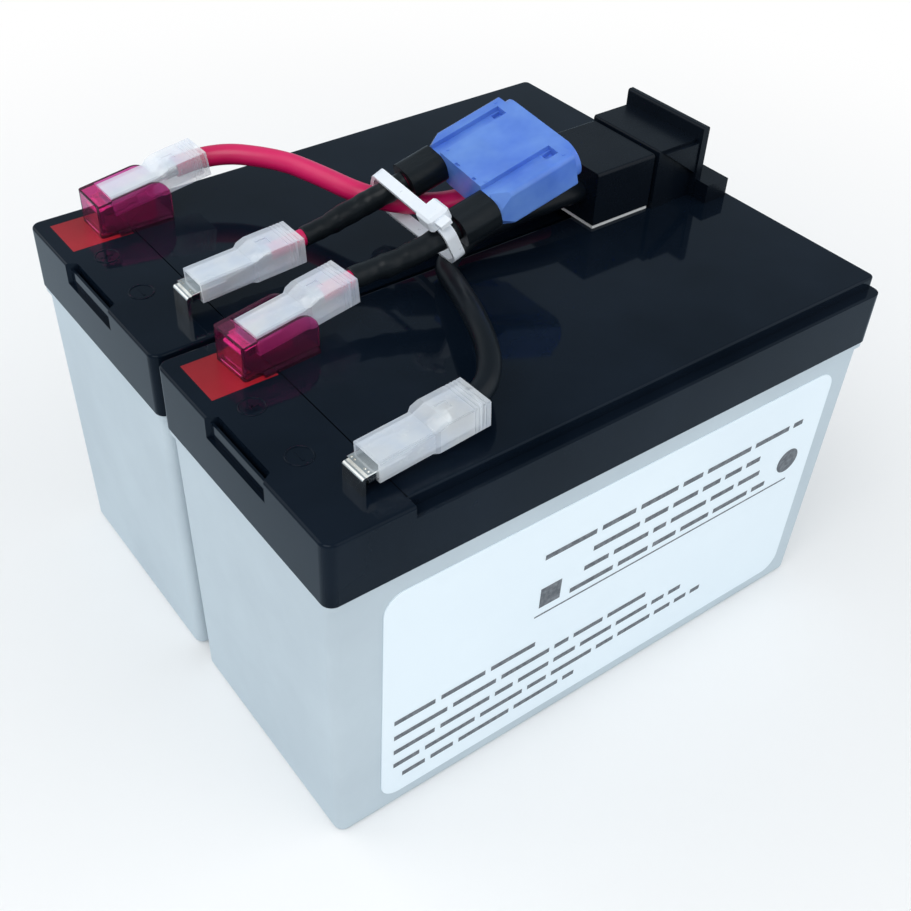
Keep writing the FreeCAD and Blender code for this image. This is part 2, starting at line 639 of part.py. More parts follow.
def build_guard(label, middle_y, pitch, yaw):
    """Clear cup round a positive terminal, open above and towards the wire.

    Its top edge rises with the terminal, a short roof covers its closed end, and a foot runs
    along each side on the lid.
    """
    body = new_body(label)
    start = "(-guard_back)"
    end = "(guard_length - guard_back)"
    inside_start = "(guard_wall - guard_back)"

    def crest(run):
        return f"(guard_height + ({run} + guard_back) * tan({pitch}))"

    side = new_sketch(body, label + "Side", "XZ_Plane", "0")
    add_outline(side, [(start, "0"), (end, "0"), (end, crest(end)), (start, crest(start))])
    pad(body, side, "guard_width", both_ways=True)
    soften(body, label + "Upper", "guard_round",
           lambda m, d: along(d, 1) and m.x > 5 and m.z > 5)
    soften(body, label + "Upright", "guard_corner", lambda m, d: along(d, 2) and m.x < 0)
    inside = new_sketch(body, label + "Inside", "XZ_Plane", "0")
    add_outline(inside, [
        (inside_start, "guard_floor"), (f"{end} + 1", "guard_floor"),
        (f"{end} + 1", f"{crest(end)} + 1"),
        ("guard_roof_end", f"{crest('guard_roof_end')} + 1"),
        ("guard_roof_end", f"{crest('guard_roof_end')} - guard_wall"),
        (inside_start, f"{crest(inside_start)} - guard_wall"),
    ])
    pocket(body, inside, "guard_width - 2 * guard_wall", both_ways=True)
    feet = new_sketch(body, label + "Feet", "XY_Plane", "0")
    for sign in ("", "-"):
        add_box(feet, "guard_roof_end + 0.3", f"{end} - 0.6", f"{sign}(guard_width / 2 - 0.2)",
                f"{sign}guard_foot_half")
    pad(body, feet, "guard_foot_thick")
    slot = new_sketch(body, label + "Slot", "XY_Plane", "guard_floor")
    add_box(slot, "-slot_length / 2", "slot_length / 2", "-slot_width / 2", "slot_width / 2")
    pocket(body, slot)
    place(body, "tab_root", f"{middle_y} + tab_offset", "lid_top",
          FreeCAD.Rotation(V(0, 0, 1), size(yaw)))


# ---------------------------------------------------------------- receptacles and boots


def build_receptacle(label, middle_y, sign, level, pitch, yaw):
    """Push-on receptacle: a flat top, edges rolled in under the tab, and a crimp barrel."""
    body = new_body(label)
    section = new_sketch(body, label + "Section", "YZ_Plane", "clip_start")
    wall = "(clip_half - 0.2)"
    bed = "tab_thick / 2"
    lip = "(-tab_thick / 2 - 0.05)"
    add_outline(section, [
        ("-clip_half", "clip_over"), ("clip_half", "clip_over"), ("clip_half", "clip_under"),
        ("0.6", "clip_under"), ("0.6", lip), (wall, lip), (wall, bed),
        (f"-{wall}", bed), (f"-{wall}", lip), ("-0.6", lip), ("-0.6", "clip_under"),
        ("-clip_half", "clip_under"),
    ])
    pad(body, section, "clip_length")
    outer = size("clip_half")
    soften(body, label + "Roll", "0.7",
           lambda m, d: along(d, 0) and near(abs(m.y), outer) and m.z < -1)
    soften(body, label + "Edge", "0.3",
           lambda m, d: along(d, 0) and near(abs(m.y), outer) and m.z > 0.9)
    neck = new_sketch(body, label + "Neck", "XY_Plane", "clip_over - 0.6")
    add_outline(neck, [
        ("clip_start + clip_length - 0.5", "-clip_half + 0.3"),
        ("barrel_start + 1", "-barrel_radius + 0.4"),
        ("barrel_start + 1", "barrel_radius - 0.4"),
        ("clip_start + clip_length - 0.5", "clip_half - 0.3"),
    ])
    pad(body, neck, "0.6")
    barrel = new_sketch(body, label + "Barrel", "YZ_Plane", "barrel_start")
    add_circle(barrel, "0", "wire_level", "barrel_radius")
    pad(body, barrel, "barrel_end - barrel_start")
    dots = new_sketch(body, label + "Dots", "XY_Plane", "clip_over")
    for across in ("1.6", "-1.6", "2.6", "-2.6"):
        add_circle(dots, "clip_start + 0.6", across, "0.3")
    pocket(body, dots, "0.35")
    place(body, "tab_root", f"{middle_y} {sign} tab_offset", level, terminal_turn(pitch, yaw))


def build_boot(label, middle_y, sign, level, pitch, yaw):
    """Moulded nylon boot, wider and deeper round the wire, with fine grip grooves behind."""
    body = new_body(label)
    side = new_sketch(body, label + "Side", "XZ_Plane", "0")
    add_outline(side, [
        ("boot_start", "boot_under"), ("boot_end", "boot_under"), ("boot_end", "boot_over_rear"),
        ("boot_step + boot_slope", "boot_over_rear"), ("boot_step", "boot_over_front"),
        ("boot_start", "boot_over_front"),
    ])
    pad(body, side, "2 * boot_half_rear", both_ways=True)
    flanks = new_sketch(body, label + "Flanks", "XY_Plane", "boot_over_rear + 1")
    for sign_y in ("", "-"):
        edges = [f"{sign_y}boot_half_front", f"{sign_y}(boot_half_rear + 1)"]
        add_outline(flanks, [
            ("boot_start - 1", edges[0]), ("boot_step", edges[0]),
            ("boot_step + 0.8", f"{sign_y}boot_half_rear"),
            ("boot_step + 0.8", edges[1]), ("boot_start - 1", edges[1]),
        ])
    pocket(body, flanks)
    step = size("boot_step")

    def mouth_edge(middle, direction):
        return along(direction, 0) and middle.x < step

    def wire_edge(middle, direction):
        return along(direction, 0) and middle.x > step + 3 and direction.Length > 5

    soften(body, label + "MouthRound", "boot_round", mouth_edge)
    soften(body, label + "WireRound", "boot_round / 2", wire_edge)
    room = new_sketch(body, label + "Room", "XZ_Plane", "0")
    add_outline(room, [
        ("boot_start - 1", "boot_floor"), ("boot_end - 1.2", "boot_floor"),
        ("boot_end - 1.2", "boot_over_rear - 0.5"),
        ("boot_step + boot_slope", "boot_over_rear - 0.5"),
        ("boot_step + 0.2", "boot_over_front - 0.7"), ("boot_start - 1", "boot_over_front - 0.7"),
    ])
    pocket(body, room, "2 * clip_half + 0.1", both_ways=True)
    hole = new_sketch(body, label + "WireHole", "YZ_Plane", "boot_end")
    add_circle(hole, "0", "wire_level", "boot_bore")
    pocket(body, hole, "1.6")
    window = new_sketch(body, label + "Window", "XY_Plane", "boot_over_rear")
    add_box(window, "boot_step + 3.6", "boot_step + 6.4", "-1.2", "1.2")
    pocket(body, window, "0.25")
    grips = (
        ("GripTop", "XY_Plane", "boot_over_rear - grip_depth", "-boot_half_rear - 1", True),
        ("GripNear", "XZ_Plane", "boot_half_rear - grip_depth", "boot_under - 1", True),
        ("GripFar", "XZ_Plane", "-(boot_half_rear - grip_depth)", "boot_under - 1", False),
    )
    for name, role, depth, low, flip in grips:
        grooves = new_sketch(body, label + name, role, depth)
        for number in range(4):
            edge = f"(boot_end - 1 - {number} * grip_pitch)"
            add_box(grooves, f"{edge} - grip_width", edge, low, "boot_half_rear + 1")
        pocket(body, grooves, "1", reverse=flip)
    place(body, "tab_root", f"{middle_y} {sign} tab_offset", level, terminal_turn(pitch, yaw))


# Each terminal: battery middle, side of that middle, then height, rise and swing of its flat leg.
FRONT_Y = "-(battery_width + battery_gap) / 2"
BACK_Y = "(battery_width + battery_gap) / 2"
TERMINALS = {
    "front_positive": (FRONT_Y, "+", "tab_level", "6", "4.5"),
    "front_negative": (FRONT_Y, "-", "(tab_level - 1.7)", "3.5", "2"),
    "back_positive": (BACK_Y, "+", "tab_level", "8", "0.5"),
    "back_negative": (BACK_Y, "-", "tab_level", "4", "0"),
}

for end, middle_y in (("front", FRONT_Y), ("back", BACK_Y)):
    build_case(f"{end}_case", middle_y)
    build_lid(f"{end}_lid", middle_y)
    build_vent_cover(f"{end}_vent_cover", middle_y)
    build_valve_caps(f"{end}_valve_caps", middle_y)
    build_plate_stacks(f"{end}_plate_stacks", middle_y)
    build_cell_straps(f"{end}_cell_straps", middle_y)
    build_guard(f"{end}_terminal_guard", middle_y, *TERMINALS[f"{end}_positive"][3:])

for terminal, (middle_y, sign, level, pitch, yaw) in TERMINALS.items():
    build_seal(f"{terminal}_seal", middle_y, sign, yaw)
    build_tab(f"{terminal}_tab", middle_y, sign, level, pitch, yaw)
    build_receptacle(f"{terminal}_receptacle", middle_y, sign, level, pitch, yaw)
    build_boot(f"{terminal}_boot", middle_y, sign, level, pitch, yaw)


# ---------------------------------------------------------------- fuse

FUSE_FRAME = FreeCAD.Placement(
    V(size("fuse_x"), size("fuse_y"), size("fuse_z")),
    FreeCAD.Rotation(size("fuse_yaw"), -size("fuse_pitch"), size("fuse_roll")),
)


# The blades end here inside the fuse body, and the link lies between their ends.
FUSE_ROOT = "(fuse_length * 0.2)"


def place_on_fuse(body):
    place(body, "fuse_x", "fuse_y", "fuse_z", FUSE_FRAME.Rotation)


def build_fuse_body():
    """Clear blue fuse body: square sides, a rounded end behind a shoulder, long grooves."""
    body = new_body("fuse_body")
    flank = "(fuse_width / 2)"
    thick = "(fuse_thick / 2)"
    core = new_sketch(body, "FuseCore", "YZ_Plane", "-fuse_length / 2")
    add_box(core, f"-({flank} - fuse_cap_inset)", f"{flank} - fuse_cap_inset", f"-{thick}", thick)
    pad(body, core, "fuse_length")
    soften(body, "FuseTail", "fuse_thick / 2 - 0.05", lambda m, d: along(d, 0))
    sides = new_sketch(body, "FuseSides", "YZ_Plane", "-fuse_length / 2")
    add_box(sides, f"-{flank}", flank, f"-{thick}", thick)
    pad(body, sides, "fuse_length - fuse_cap")
    reach = size(flank)
    soften(body, "FuseSideRound", "fuse_side_round",
           lambda m, d: along(d, 0) and near(abs(m.y), reach) and d.Length > 10)

    # Both faces: a facet at each blade-end corner, two long grooves with a square gate each.
    span = "sqrt(fuse_facet_run ^ 2 + fuse_facet_across ^ 2)"
    slope = f"-atan(fuse_facet_run * fuse_facet_across / {span} / fuse_facet_drop)"
    for face, level, flip in (("Top", thick, False), ("Under", f"-{thick}", True)):
        facets = new_sketch(body, f"FuseFacets{face}", "XY_Plane", level)
        grooves = new_sketch(body, f"FuseGrooves{face}", "XY_Plane", level)
        gates = new_sketch(body, f"FuseGates{face}", "XY_Plane", level)
        for sign in ("", "-"):
            low = f"{sign}({flank} - 2 * fuse_facet_across)"
            high = f"{sign}({flank} + fuse_facet_across)"
            add_outline(facets, [
                ("-fuse_length / 2 - fuse_facet_run", low),
                ("-fuse_length / 2 + 2 * fuse_facet_run", high),
                ("-fuse_length / 2 - fuse_facet_run", high),
            ])
            add_box(grooves, "-fuse_length / 2 - 1", "groove_end", f"{sign}groove_inner",
                    f"{sign}groove_outer")
            add_box(gates, "groove_end - 2.4", "groove_end", f"{sign}(groove_inner + 0.5)",
                    f"{sign}(groove_outer - 0.5)")
        pocket(body, facets, "fuse_facet_drop", reverse=flip, taper=slope)
        pocket(body, grooves, "groove_depth", reverse=flip)
        pocket(body, gates, "groove_depth + 1", reverse=flip)

    nicks = new_sketch(body, "FuseNicks", "XY_Plane", thick)
    add_box(nicks, "-fuse_length / 2 + 0.15", "-fuse_length / 2 + 0.75", "0.9", "2.4")
    add_box(nicks, "-fuse_length / 2 + 0.15", "-fuse_length / 2 + 0.75", "-5.4", "-4.4")
    pocket(body, nicks, "0.5")
    pips = new_sketch(body, "FusePips", "XY_Plane", f"{thick} - 0.1")
    for sign in ("", "-"):
        add_circle(pips, "-fuse_length / 2 + 1.7", f"{sign}(groove_inner - 0.6)", "0.35")
        add_circle(pips, "groove_end + 0.4", f"{sign}(groove_outer + 1.3)", "0.35")
    pad(body, pips, "0.25")

    slots = new_sketch(body, "FuseBladeSlots", "YZ_Plane", "-fuse_length / 2")
    for sign in ("", "-"):
        add_box(slots, f"{sign}fuse_spread - blade_width / 2", f"{sign}fuse_spread + blade_width / 2",
                "-blade_thick / 2", "blade_thick / 2")
    pocket(body, slots, f"{FUSE_ROOT} + fuse_length / 2", reverse=True)
    chamber = new_sketch(body, "FuseChamber", "XY_Plane", "2")
    side = "(fuse_spread - blade_width / 2)"
    add_box(chamber, f"{FUSE_ROOT} - 5", f"{FUSE_ROOT} + 1.5", f"-{side}", side)
    pocket(body, chamber, "4")
    place_on_fuse(body)


def build_fuse_element():
    """Two blades joined by a narrow link, all cut from one strip."""
    body = new_body("fuse_element")
    strip = new_sketch(body, "FuseStrip", "XY_Plane", "-blade_thick / 2")
    outer = "(fuse_spread + blade_width / 2)"
    inner = "(fuse_spread - blade_width / 2)"
    tip = "(-fuse_length / 2 - blade_reach)"
    half_outline = [
        (f"{FUSE_ROOT} - 1", f"({inner} - 2)"), (FUSE_ROOT, inner), (FUSE_ROOT, outer),
        (f"{tip} + 0.8", outer), (tip, f"({outer} - 0.8)"), (tip, f"({inner} + 0.8)"),
        (f"{tip} + 0.8", inner), (f"{FUSE_ROOT} - 3.4", inner),
        (f"{FUSE_ROOT} - 2.4", f"({inner} - 2)"),
    ]
    mirrored = [(run, f"-{across}") for run, across in reversed(half_outline)]
    add_outline(strip, half_outline + mirrored)
    pad(body, strip, "blade_thick")
    place_on_fuse(body)


def build_fuse_clip(label, sign):
    """Receptacle gripped on one fuse blade, with the lead's crimp behind it."""
    body = new_body(label)
    section = new_sketch(body, label + "Section", "YZ_Plane", "-fuse_length / 2 - blade_reach")
    half = "(blade_width / 2 + 0.35)"
    add_box(section, f"-{half}", half, "-1.3", "1.3")
    pad(body, section, "blade_reach - 0.2")
    slot = new_sketch(body, label + "Slot", "YZ_Plane", "-fuse_length / 2 + 1")
    add_box(slot, "-blade_width / 2", "blade_width / 2", "-blade_thick / 2", "blade_thick / 2")
    pocket(body, slot)
    crimp = new_sketch(body, label + "Crimp", "YZ_Plane", "-fuse_length / 2 - blade_reach")
    add_circle(crimp, "0", "0", "barrel_radius - 0.2")
    pad(body, crimp, "hood_length - blade_reach - 1", reverse=True)
    body.Placement = FUSE_FRAME.multiply(
        FreeCAD.Placement(V(0, size(f"{sign} fuse_spread"), 0), FreeCAD.Rotation()))


def build_fuse_hood(label, sign):
    """Flat black sleeve over a fuse blade and the end of its lead."""
    body = new_body(label)
    mouth = new_sketch(body, label + "Mouth", "YZ_Plane", "-fuse_length / 2")
    add_box(mouth, "-hood_width / 2", "hood_width / 2", "-hood_thick / 2", "hood_thick / 2")
    pad(body, mouth, "hood_length", reverse=True)
    soften(body, label + "Round", "hood_round", lambda m, d: along(d, 0))
    room = new_sketch(body, label + "Room", "YZ_Plane", "-fuse_length / 2 + 1")
    half = "(blade_width / 2 + 0.35)"
    add_box(room, f"-{half}", half, "-1.3", "1.3")
    pocket(body, room, "blade_reach + 1")
    bore = new_sketch(body, label + "Bore", "YZ_Plane", "-fuse_length / 2 - hood_length - 1")
    add_circle(bore, "0", "0", "fuse_lead_diameter / 2")
    pocket(body, bore, "hood_length - blade_reach + 1.5", reverse=True)
    body.Placement = FUSE_FRAME.multiply(
        FreeCAD.Placement(V(0, size(f"{sign} fuse_spread"), 0), FreeCAD.Rotation()))


build_fuse_body()
build_fuse_element()
for end, sign in (("back", "+"), ("front", "-")):
    build_fuse_clip(f"{end}_fuse_clip", sign)
    build_fuse_hood(f"{end}_fuse_hood", sign)


# ---------------------------------------------------------------- connector


def build_connector_cover():
    """Rear cover that closes over the crimped leads."""
    body = new_body("connector_cover")
    side = new_sketch(body, "CoverSide", "XZ_Plane", "0")
    add_box(side, "plug_x", "plug_split", "plug_under", "plug_top")
    pad(body, side, "2 * plug_half", both_ways=True)
    half = size("plug_half")
    top = size("plug_top")
    soften(body, "CoverRound", "0.8",
           lambda m, d: along(d, 0) and near(abs(m.y), half) and near(m.z, top))
    entries = new_sketch(body, "CoverEntries", "YZ_Plane", "plug_x")
    for sign in ("", "-"):
        add_circle(entries, f"{sign}entry_spread", "entry_level", "lead_diameter / 2")
    pocket(body, entries, "entry_depth", reverse=True)


def build_connector_housing():
    """Housing with two sockets, a pull flange held by gussets, and a low step in front."""
    body = new_body("connector_housing")
    block = new_sketch(body, "HousingBlock", "XZ_Plane", "0")
    add_box(block, "plug_split + plug_groove", "flange_x", "lid_top", "housing_top")
    pad(body, block, "2 * housing_half", both_ways=True)
    neck = new_sketch(body, "HousingNeck", "XZ_Plane", "0")
    add_box(neck, "plug_split", "plug_split + plug_groove + 1", "plug_under", "plug_top - 1.2")
    pad(body, neck, "2 * (plug_half - 1.2)", both_ways=True)
    flange = new_sketch(body, "Flange", "YZ_Plane", "flange_x")
    add_box(flange, "-flange_half", "flange_half", "lid_top", "flange_top")
    pad(body, flange, "flange_thick")
    for name, level, flip in (("GussetNear", "housing_half - 0.2", False),
                              ("GussetFar", "-(housing_half - 0.2)", True)):
        gusset = new_sketch(body, name, "XZ_Plane", level)
        add_outline(gusset, [
            ("gusset_start", "gusset_top"), ("flange_x + 0.5", "gusset_foot"),
            ("flange_x + 0.5", "gusset_top"),
        ])
        pad(body, gusset, "gusset_thick + 0.2", reverse=flip)
    step = new_sketch(body, "Step", "XY_Plane", "lid_top")
    add_box(step, "flange_x + 0.5", "step_end", "-step_half", "step_half")
    pad(body, step, "step_top - lid_top")
    sockets = new_sketch(body, "Sockets", "YZ_Plane", "flange_x + flange_thick")
    for sign in ("", "-"):
        middle = f"{sign}socket_spread"
        add_box(sockets, f"{middle} - socket_width / 2", f"{middle} + socket_width / 2",
                "socket_low", "socket_high")
    pocket(body, sockets, "socket_depth")
    top = size("flange_top")
    soften(body, "FlangeTop", "0.6", lambda m, d: along(d, 1) and near(m.z, top))
    tall = size("housing_top")
    start = size("plug_split + plug_groove")
    soften(body, "HousingTop", "0.5",
           lambda m, d: along(d, 1) and near(m.z, tall) and near(m.x, start))


def build_connector_contacts():
    """Two flat contacts that stand in the sockets."""
    body = new_body("connector_contacts", several=True)
    blades = new_sketch(body, "ContactBlades", "XY_Plane", "socket_low")
    back = "(flange_x + flange_thick - socket_depth)"
    for sign in ("", "-"):
        middle = f"{sign}socket_spread"
        add_outline(blades, [
            (back, f"{middle} - 3.1"), (f"{back} + contact_reach - 1", f"{middle} - 3.1"),
            (f"{back} + contact_reach", f"{middle} - 2.3"),
            (f"{back} + contact_reach", f"{middle} + 2.3"),
            (f"{back} + contact_reach - 1", f"{middle} + 3.1"), (back, f"{middle} + 3.1"),
        ])
    pad(body, blades, "0.8")


def build_connector_pad():
    """Foam pad that sticks the connector cover to the lids."""
    body = new_body("connector_pad")
    foam = new_sketch(body, "PadFoam", "XY_Plane", "lid_top")
    half = "(plug_half - pad_inset)"
    add_box(foam, "plug_x + pad_inset", "plug_split", f"-{half}", half)
    pad(body, foam, "plug_under - lid_top")


build_connector_cover()
build_connector_housing()
build_connector_contacts()
build_connector_pad()


# ---------------------------------------------------------------- leads


def terminal_point(terminal, run, lift):
    """A point in the frame of a terminal's flat leg, run along it and lift above it."""
    middle_y, sign, level, pitch, yaw = TERMINALS[terminal]
    base = V(size("tab_root"), size(f"{middle_y} {sign} tab_offset"), size(level))
    return base + terminal_turn(pitch, yaw).multVec(V(run, 0, lift))


def fuse_point(run, across):
    return FUSE_FRAME.multVec(V(run, across, 0))


def arc_route(points):
    """Straight runs joined by tangent arcs as large as their runs allow."""
    edges = []
    radii = []
    start = points[0]
    for before, corner, after in zip(points, points[1:], points[2:]):
        into = (corner - before).normalize()
        away = (after - corner).normalize()
        half_turn = into.getAngle(away) / 2
        cut = 0.45 * min((corner - before).Length, (after - corner).Length)
        radii.append(cut / math.tan(half_turn))
        enter = corner - into * cut
        leave = corner + away * cut
        inward = (away - into).normalize()
        deep = radii[-1] * (1 / math.cos(half_turn) - 1)
        edges.append(Part.LineSegment(start, enter).toShape())
        edges.append(Part.Arc(enter, corner + inward * deep, leave).toShape())
        start = leave
    edges.append(Part.LineSegment(start, points[-1]).toShape())
    return Part.Wire(edges), radii


def swept(points, diameter):
    """A round tube along a route."""
    path, radii = arc_route(points)
    ring = Part.Circle(points[0], points[1] - points[0], diameter / 2).toShape()
    solid = path.makePipeShell([Part.Wire([ring])], True, True)
    section = math.pi * diameter ** 2 / 4
    ratio = solid.Volume / (section * path.Length)
    tight = min(radii)
    print(f"route {path.Length:.1f} long, smallest radius {tight:.1f}, volume ratio {ratio:.4f}")
    return solid


def add_solid(label, solid):
    thing = doc.addObject("Part::Feature", label)
    thing.Shape = solid
    thing.Placement = FreeCAD.Placement()
    return keep(thing, label)


ENTRY = "plug_x + entry_depth"
# The red lead leaves the back positive boot, goes through the cable tie below the back fuse
# lead and runs under the fuse to the connector.
RED_ROUTE = [
    terminal_point("back_positive", size("barrel_end"), size("wire_level")),
    terminal_point("back_positive", size("boot_end + 3"), size("wire_level")),
    V(-19.8, 42.2, 105.2),
    V(-16.0, 29.8, 105.2),
    V(-13.2, 17.3, 105.2),
    V(-6.5, 10.8, 103.7),
    V(1.1, 8.1, 102.5),
    V(7.4, 7.1, 101.9),
    V(19.4, 6.2, 101.6),
    V(29.4, 5.2, 101.6),
    V(size(ENTRY), size("entry_spread"), size("entry_level")),
]
# The black lead leaves the front negative boot, turns back across the battery and drops to the
# lid, where it runs under the cable tie, the front fuse lead and the fuse.
BLACK_ROUTE = [
    terminal_point("front_negative", size("barrel_end"), size("wire_level")),
    terminal_point("front_negative", size("boot_end + 2"), size("wire_level")),
    V(-24.4, -46.6, 102.3),
    V(-18.0, -32.5, 102.2),
    V(-11.4, -17.3, 99.0),
    V(-7.4, -7.6, 96.9),
    V(3.8, -3.2, 99.4),
    V(17.6, -4.4, 100.9),
    V(29.4, -5.2, 101.6),
    V(size(ENTRY), -size("entry_spread"), size("entry_level")),
]
HOOD_END = size("-fuse_length / 2 - hood_length")
# Each fuse lead rises straight from its boot into the flat sleeve on the fuse blade.
FUSE_LEADS = {
    "back": {
        "terminal": "back_negative",
        "across": size("fuse_spread"),
        "straight": 4.0,
        "bare": 2.2,
        "between": [V(-16.9, 11.7, 105.7)],
    },
    "front": {
        "terminal": "front_positive",
        "across": -size("fuse_spread"),
        "straight": 3.0,
        "bare": 1.4,
        "between": [V(-21.8, -11.0, 104.7)],
    },
}


def keep_out(frame):
    """A large block behind the YZ plane of a frame, to end a sleeve square."""
    block = Part.makeBox(40, 40, 40, V(-40, -20, -20))
    block.Placement = frame
    return block


def build_fuse_lead(end, terminal, across, straight, bare, between):
    """The lead itself and the shrink sleeve that covers it from boot to fuse."""
    points = [
        terminal_point(terminal, size("barrel_end"), size("wire_level")),
        terminal_point(terminal, size("boot_end") + straight, size("wire_level")),
        *between,
        fuse_point(HOOD_END - 4, across),
        fuse_point(HOOD_END + 1, across),
    ]
    lead = swept(points, size("fuse_lead_diameter"))
    pitch, yaw = TERMINALS[terminal][3:]
    mouth = terminal_point(terminal, size("boot_end") + bare, 0)
    facing_back = FreeCAD.Rotation(V(0, 0, 1), 180)
    hood_frame = FreeCAD.Placement(fuse_point(HOOD_END, across), FUSE_FRAME.Rotation * facing_back)
    sleeve = swept(points, size("sleeve_diameter"))
    sleeve = sleeve.cut(keep_out(FreeCAD.Placement(mouth, terminal_turn(pitch, yaw))))
    sleeve = sleeve.cut(keep_out(hood_frame))
    add_solid(f"{end}_fuse_lead", lead)
    add_solid(f"{end}_lead_sleeve", sleeve.cut(lead))


lead_diameter = size("lead_diameter")
add_solid("red_lead", swept(RED_ROUTE, lead_diameter))
add_solid("black_lead", swept(BLACK_ROUTE, lead_diameter))
for end, lead in FUSE_LEADS.items():
    build_fuse_lead(end, **lead)


# ---------------------------------------------------------------- tie, label and foam


def rounded_loop(points, radius):
    """A closed wire through the points, each corner rounded by the radius."""
    edges = []
    count = len(points)
    ends = []
    for i, corner in enumerate(points):
        into = (corner - points[i - 1]).normalize()
        away = (points[(i + 1) % count] - corner).normalize()
        half_turn = into.getAngle(away) / 2
        cut = radius * math.tan(half_turn)
        inward = (away - into).normalize()
        deep = radius * (1 / math.cos(half_turn) - 1)
        ends.append((corner - into * cut, corner + inward * deep, corner + away * cut))
    for i, (enter, crown, leave) in enumerate(ends):
        edges.append(Part.Arc(enter, crown, leave).toShape())
        edges.append(Part.LineSegment(leave, ends[(i + 1) % count][0]).toShape())
    return Part.Wire(edges)


def build_cable_tie():
    """Nylon tie drawn round both fuse leads and the red lead, head on top."""
    back = size("tie_back")
    front = -size("tie_front")
    over = size("tie_over")
    head_top = size("tie_over - tie_drop")
    under = -size("tie_under")
    back_low = size("tie_back_low")
    loop = [V(0, y, z) for y, z in (
        (back, over), (front, head_top), (front, under + 3.0), (front + 3.4, under),
        (back_low - 3.4, under - 1.5), (back_low, under + 2.0),
    )]
    inner = rounded_loop(loop, size("tie_round"))
    outer = inner.makeOffset2D(size("tie_thick"))
    width = size("tie_width")
    ring = Part.Face(outer).cut(Part.Face(inner)).extrude(V(width, 0, 0))
    ring.translate(V(-width / 2, 0, 0))
    side = size("tie_head")
    rise = size("tie_head_rise")
    corner = V(-side / 2, size("tie_head_y") - side / 2, head_top + size("tie_thick") * 0.7)
    head = Part.makeBox(side, side, rise, corner)
    head = head.makeChamfer(0.6, head.Edges)
    tail = Part.makeBox(width, 3.0, size("tie_thick"),
                        corner + V((side - width) / 2, -2.4, rise * 0.45))
    tie = ring.fuse(head).fuse(tail).removeSplitter()
    thing = add_solid("cable_tie", tie)
    thing.Placement = FreeCAD.Placement(
        V(size("tie_x"), 0, size("tie_z")),
        FreeCAD.Rotation(size("tie_swing"), -size("tie_lean"), 0))


def build_label():
    """Printed label on the outer side of the front battery, lying on the drafted wall."""
    body = new_body("side_label")
    sheet_outline = new_sketch(body, "LabelOutline", "XZ_Plane", "0")
    add_box(sheet_outline, "label_left", "label_right", "label_low - case_top",
            "label_high - case_top")
    pad(body, sheet_outline, "label_thick")
    soften(body, "LabelCorners", "label_round", lambda m, d: along(d, 1))
    place(body, "0", f"{FRONT_Y} - {HALF_WIDTH} + case_inset", "case_top",
          FreeCAD.Rotation(V(1, 0, 0), size("case_draft")))


def build_foam():
    """Double-sided foam tape that fills the space between the two cases."""
    body = new_body("foam_tape")
    section = new_sketch(body, "FoamSection", "YZ_Plane", "0")
    low = "(battery_gap / 2 + case_inset + (case_top - foam_low) * tan(case_draft))"
    high = "(battery_gap / 2 + case_inset + (case_top - foam_high) * tan(case_draft))"
    add_outline(section, [
        (f"-{low}", "foam_low"), (low, "foam_low"), (high, "foam_high"), (f"-{high}", "foam_high"),
    ])
    pad(body, section, "2 * foam_half", both_ways=True)


build_cable_tie()
build_label()
build_foam()


# ---------------------------------------------------------------- checks and export

doc.recompute()
for thing in doc.Objects:
    if "Invalid" in thing.State or "Error" in thing.State:
        raise RuntimeError(f"{thing.Name} did not recompute")
for thing in SUBPARTS:
    shape = thing.Shape
    if shape.isNull() or not shape.isValid() or not shape.Solids:
        raise RuntimeError(f"{thing.Label} has no valid solid")
    print(f"{thing.Label}: {len(shape.Solids)} solid(s), {shape.Volume / 1000:.2f} cm3")

os.makedirs("parts", exist_ok=True)
for thing in SUBPARTS:
    thing.Shape.exportStep(f"parts/{thing.Label}.step")
print(f"{len(SUBPARTS)} sub-parts written")
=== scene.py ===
import math
import random

import bmesh
import bpy
from mathutils import Euler, Matrix, Vector


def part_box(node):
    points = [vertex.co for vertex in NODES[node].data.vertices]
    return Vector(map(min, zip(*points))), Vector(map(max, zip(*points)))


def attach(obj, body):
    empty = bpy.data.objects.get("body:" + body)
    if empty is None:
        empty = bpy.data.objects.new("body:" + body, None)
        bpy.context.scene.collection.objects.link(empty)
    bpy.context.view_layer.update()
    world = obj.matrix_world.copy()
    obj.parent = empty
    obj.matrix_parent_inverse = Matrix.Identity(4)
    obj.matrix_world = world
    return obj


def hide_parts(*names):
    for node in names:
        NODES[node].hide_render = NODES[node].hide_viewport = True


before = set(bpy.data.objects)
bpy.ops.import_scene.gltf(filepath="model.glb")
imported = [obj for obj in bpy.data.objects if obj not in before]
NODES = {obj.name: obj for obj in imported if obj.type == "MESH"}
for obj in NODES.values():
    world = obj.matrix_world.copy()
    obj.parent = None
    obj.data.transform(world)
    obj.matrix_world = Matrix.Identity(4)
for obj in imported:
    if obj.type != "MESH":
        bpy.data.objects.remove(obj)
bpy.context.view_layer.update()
ENDS = ("front", "back")
TERMINALS = [f"{end}_{pole}" for end in ENDS for pole in ("positive", "negative")]


# ---------------------------------------------------------------- small helpers

def mm(*values):
    """Millimetres as metres."""
    return tuple(value / 1000 for value in values)


def corners(node):
    """The lowest and the highest corner of a CAD node."""
    low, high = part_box(node)
    return Vector(low), Vector(high)


def new_piece(name, mesh):
    piece = bpy.data.objects.new(name, mesh)
    bpy.context.scene.collection.objects.link(piece)
    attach(piece, "root")
    return piece


def mesh_from(name, verts, faces, smooth=True):
    mesh = bpy.data.meshes.new(name)
    mesh.from_pydata(verts, [], faces)
    for polygon in mesh.polygons:
        polygon.use_smooth = smooth
    return mesh


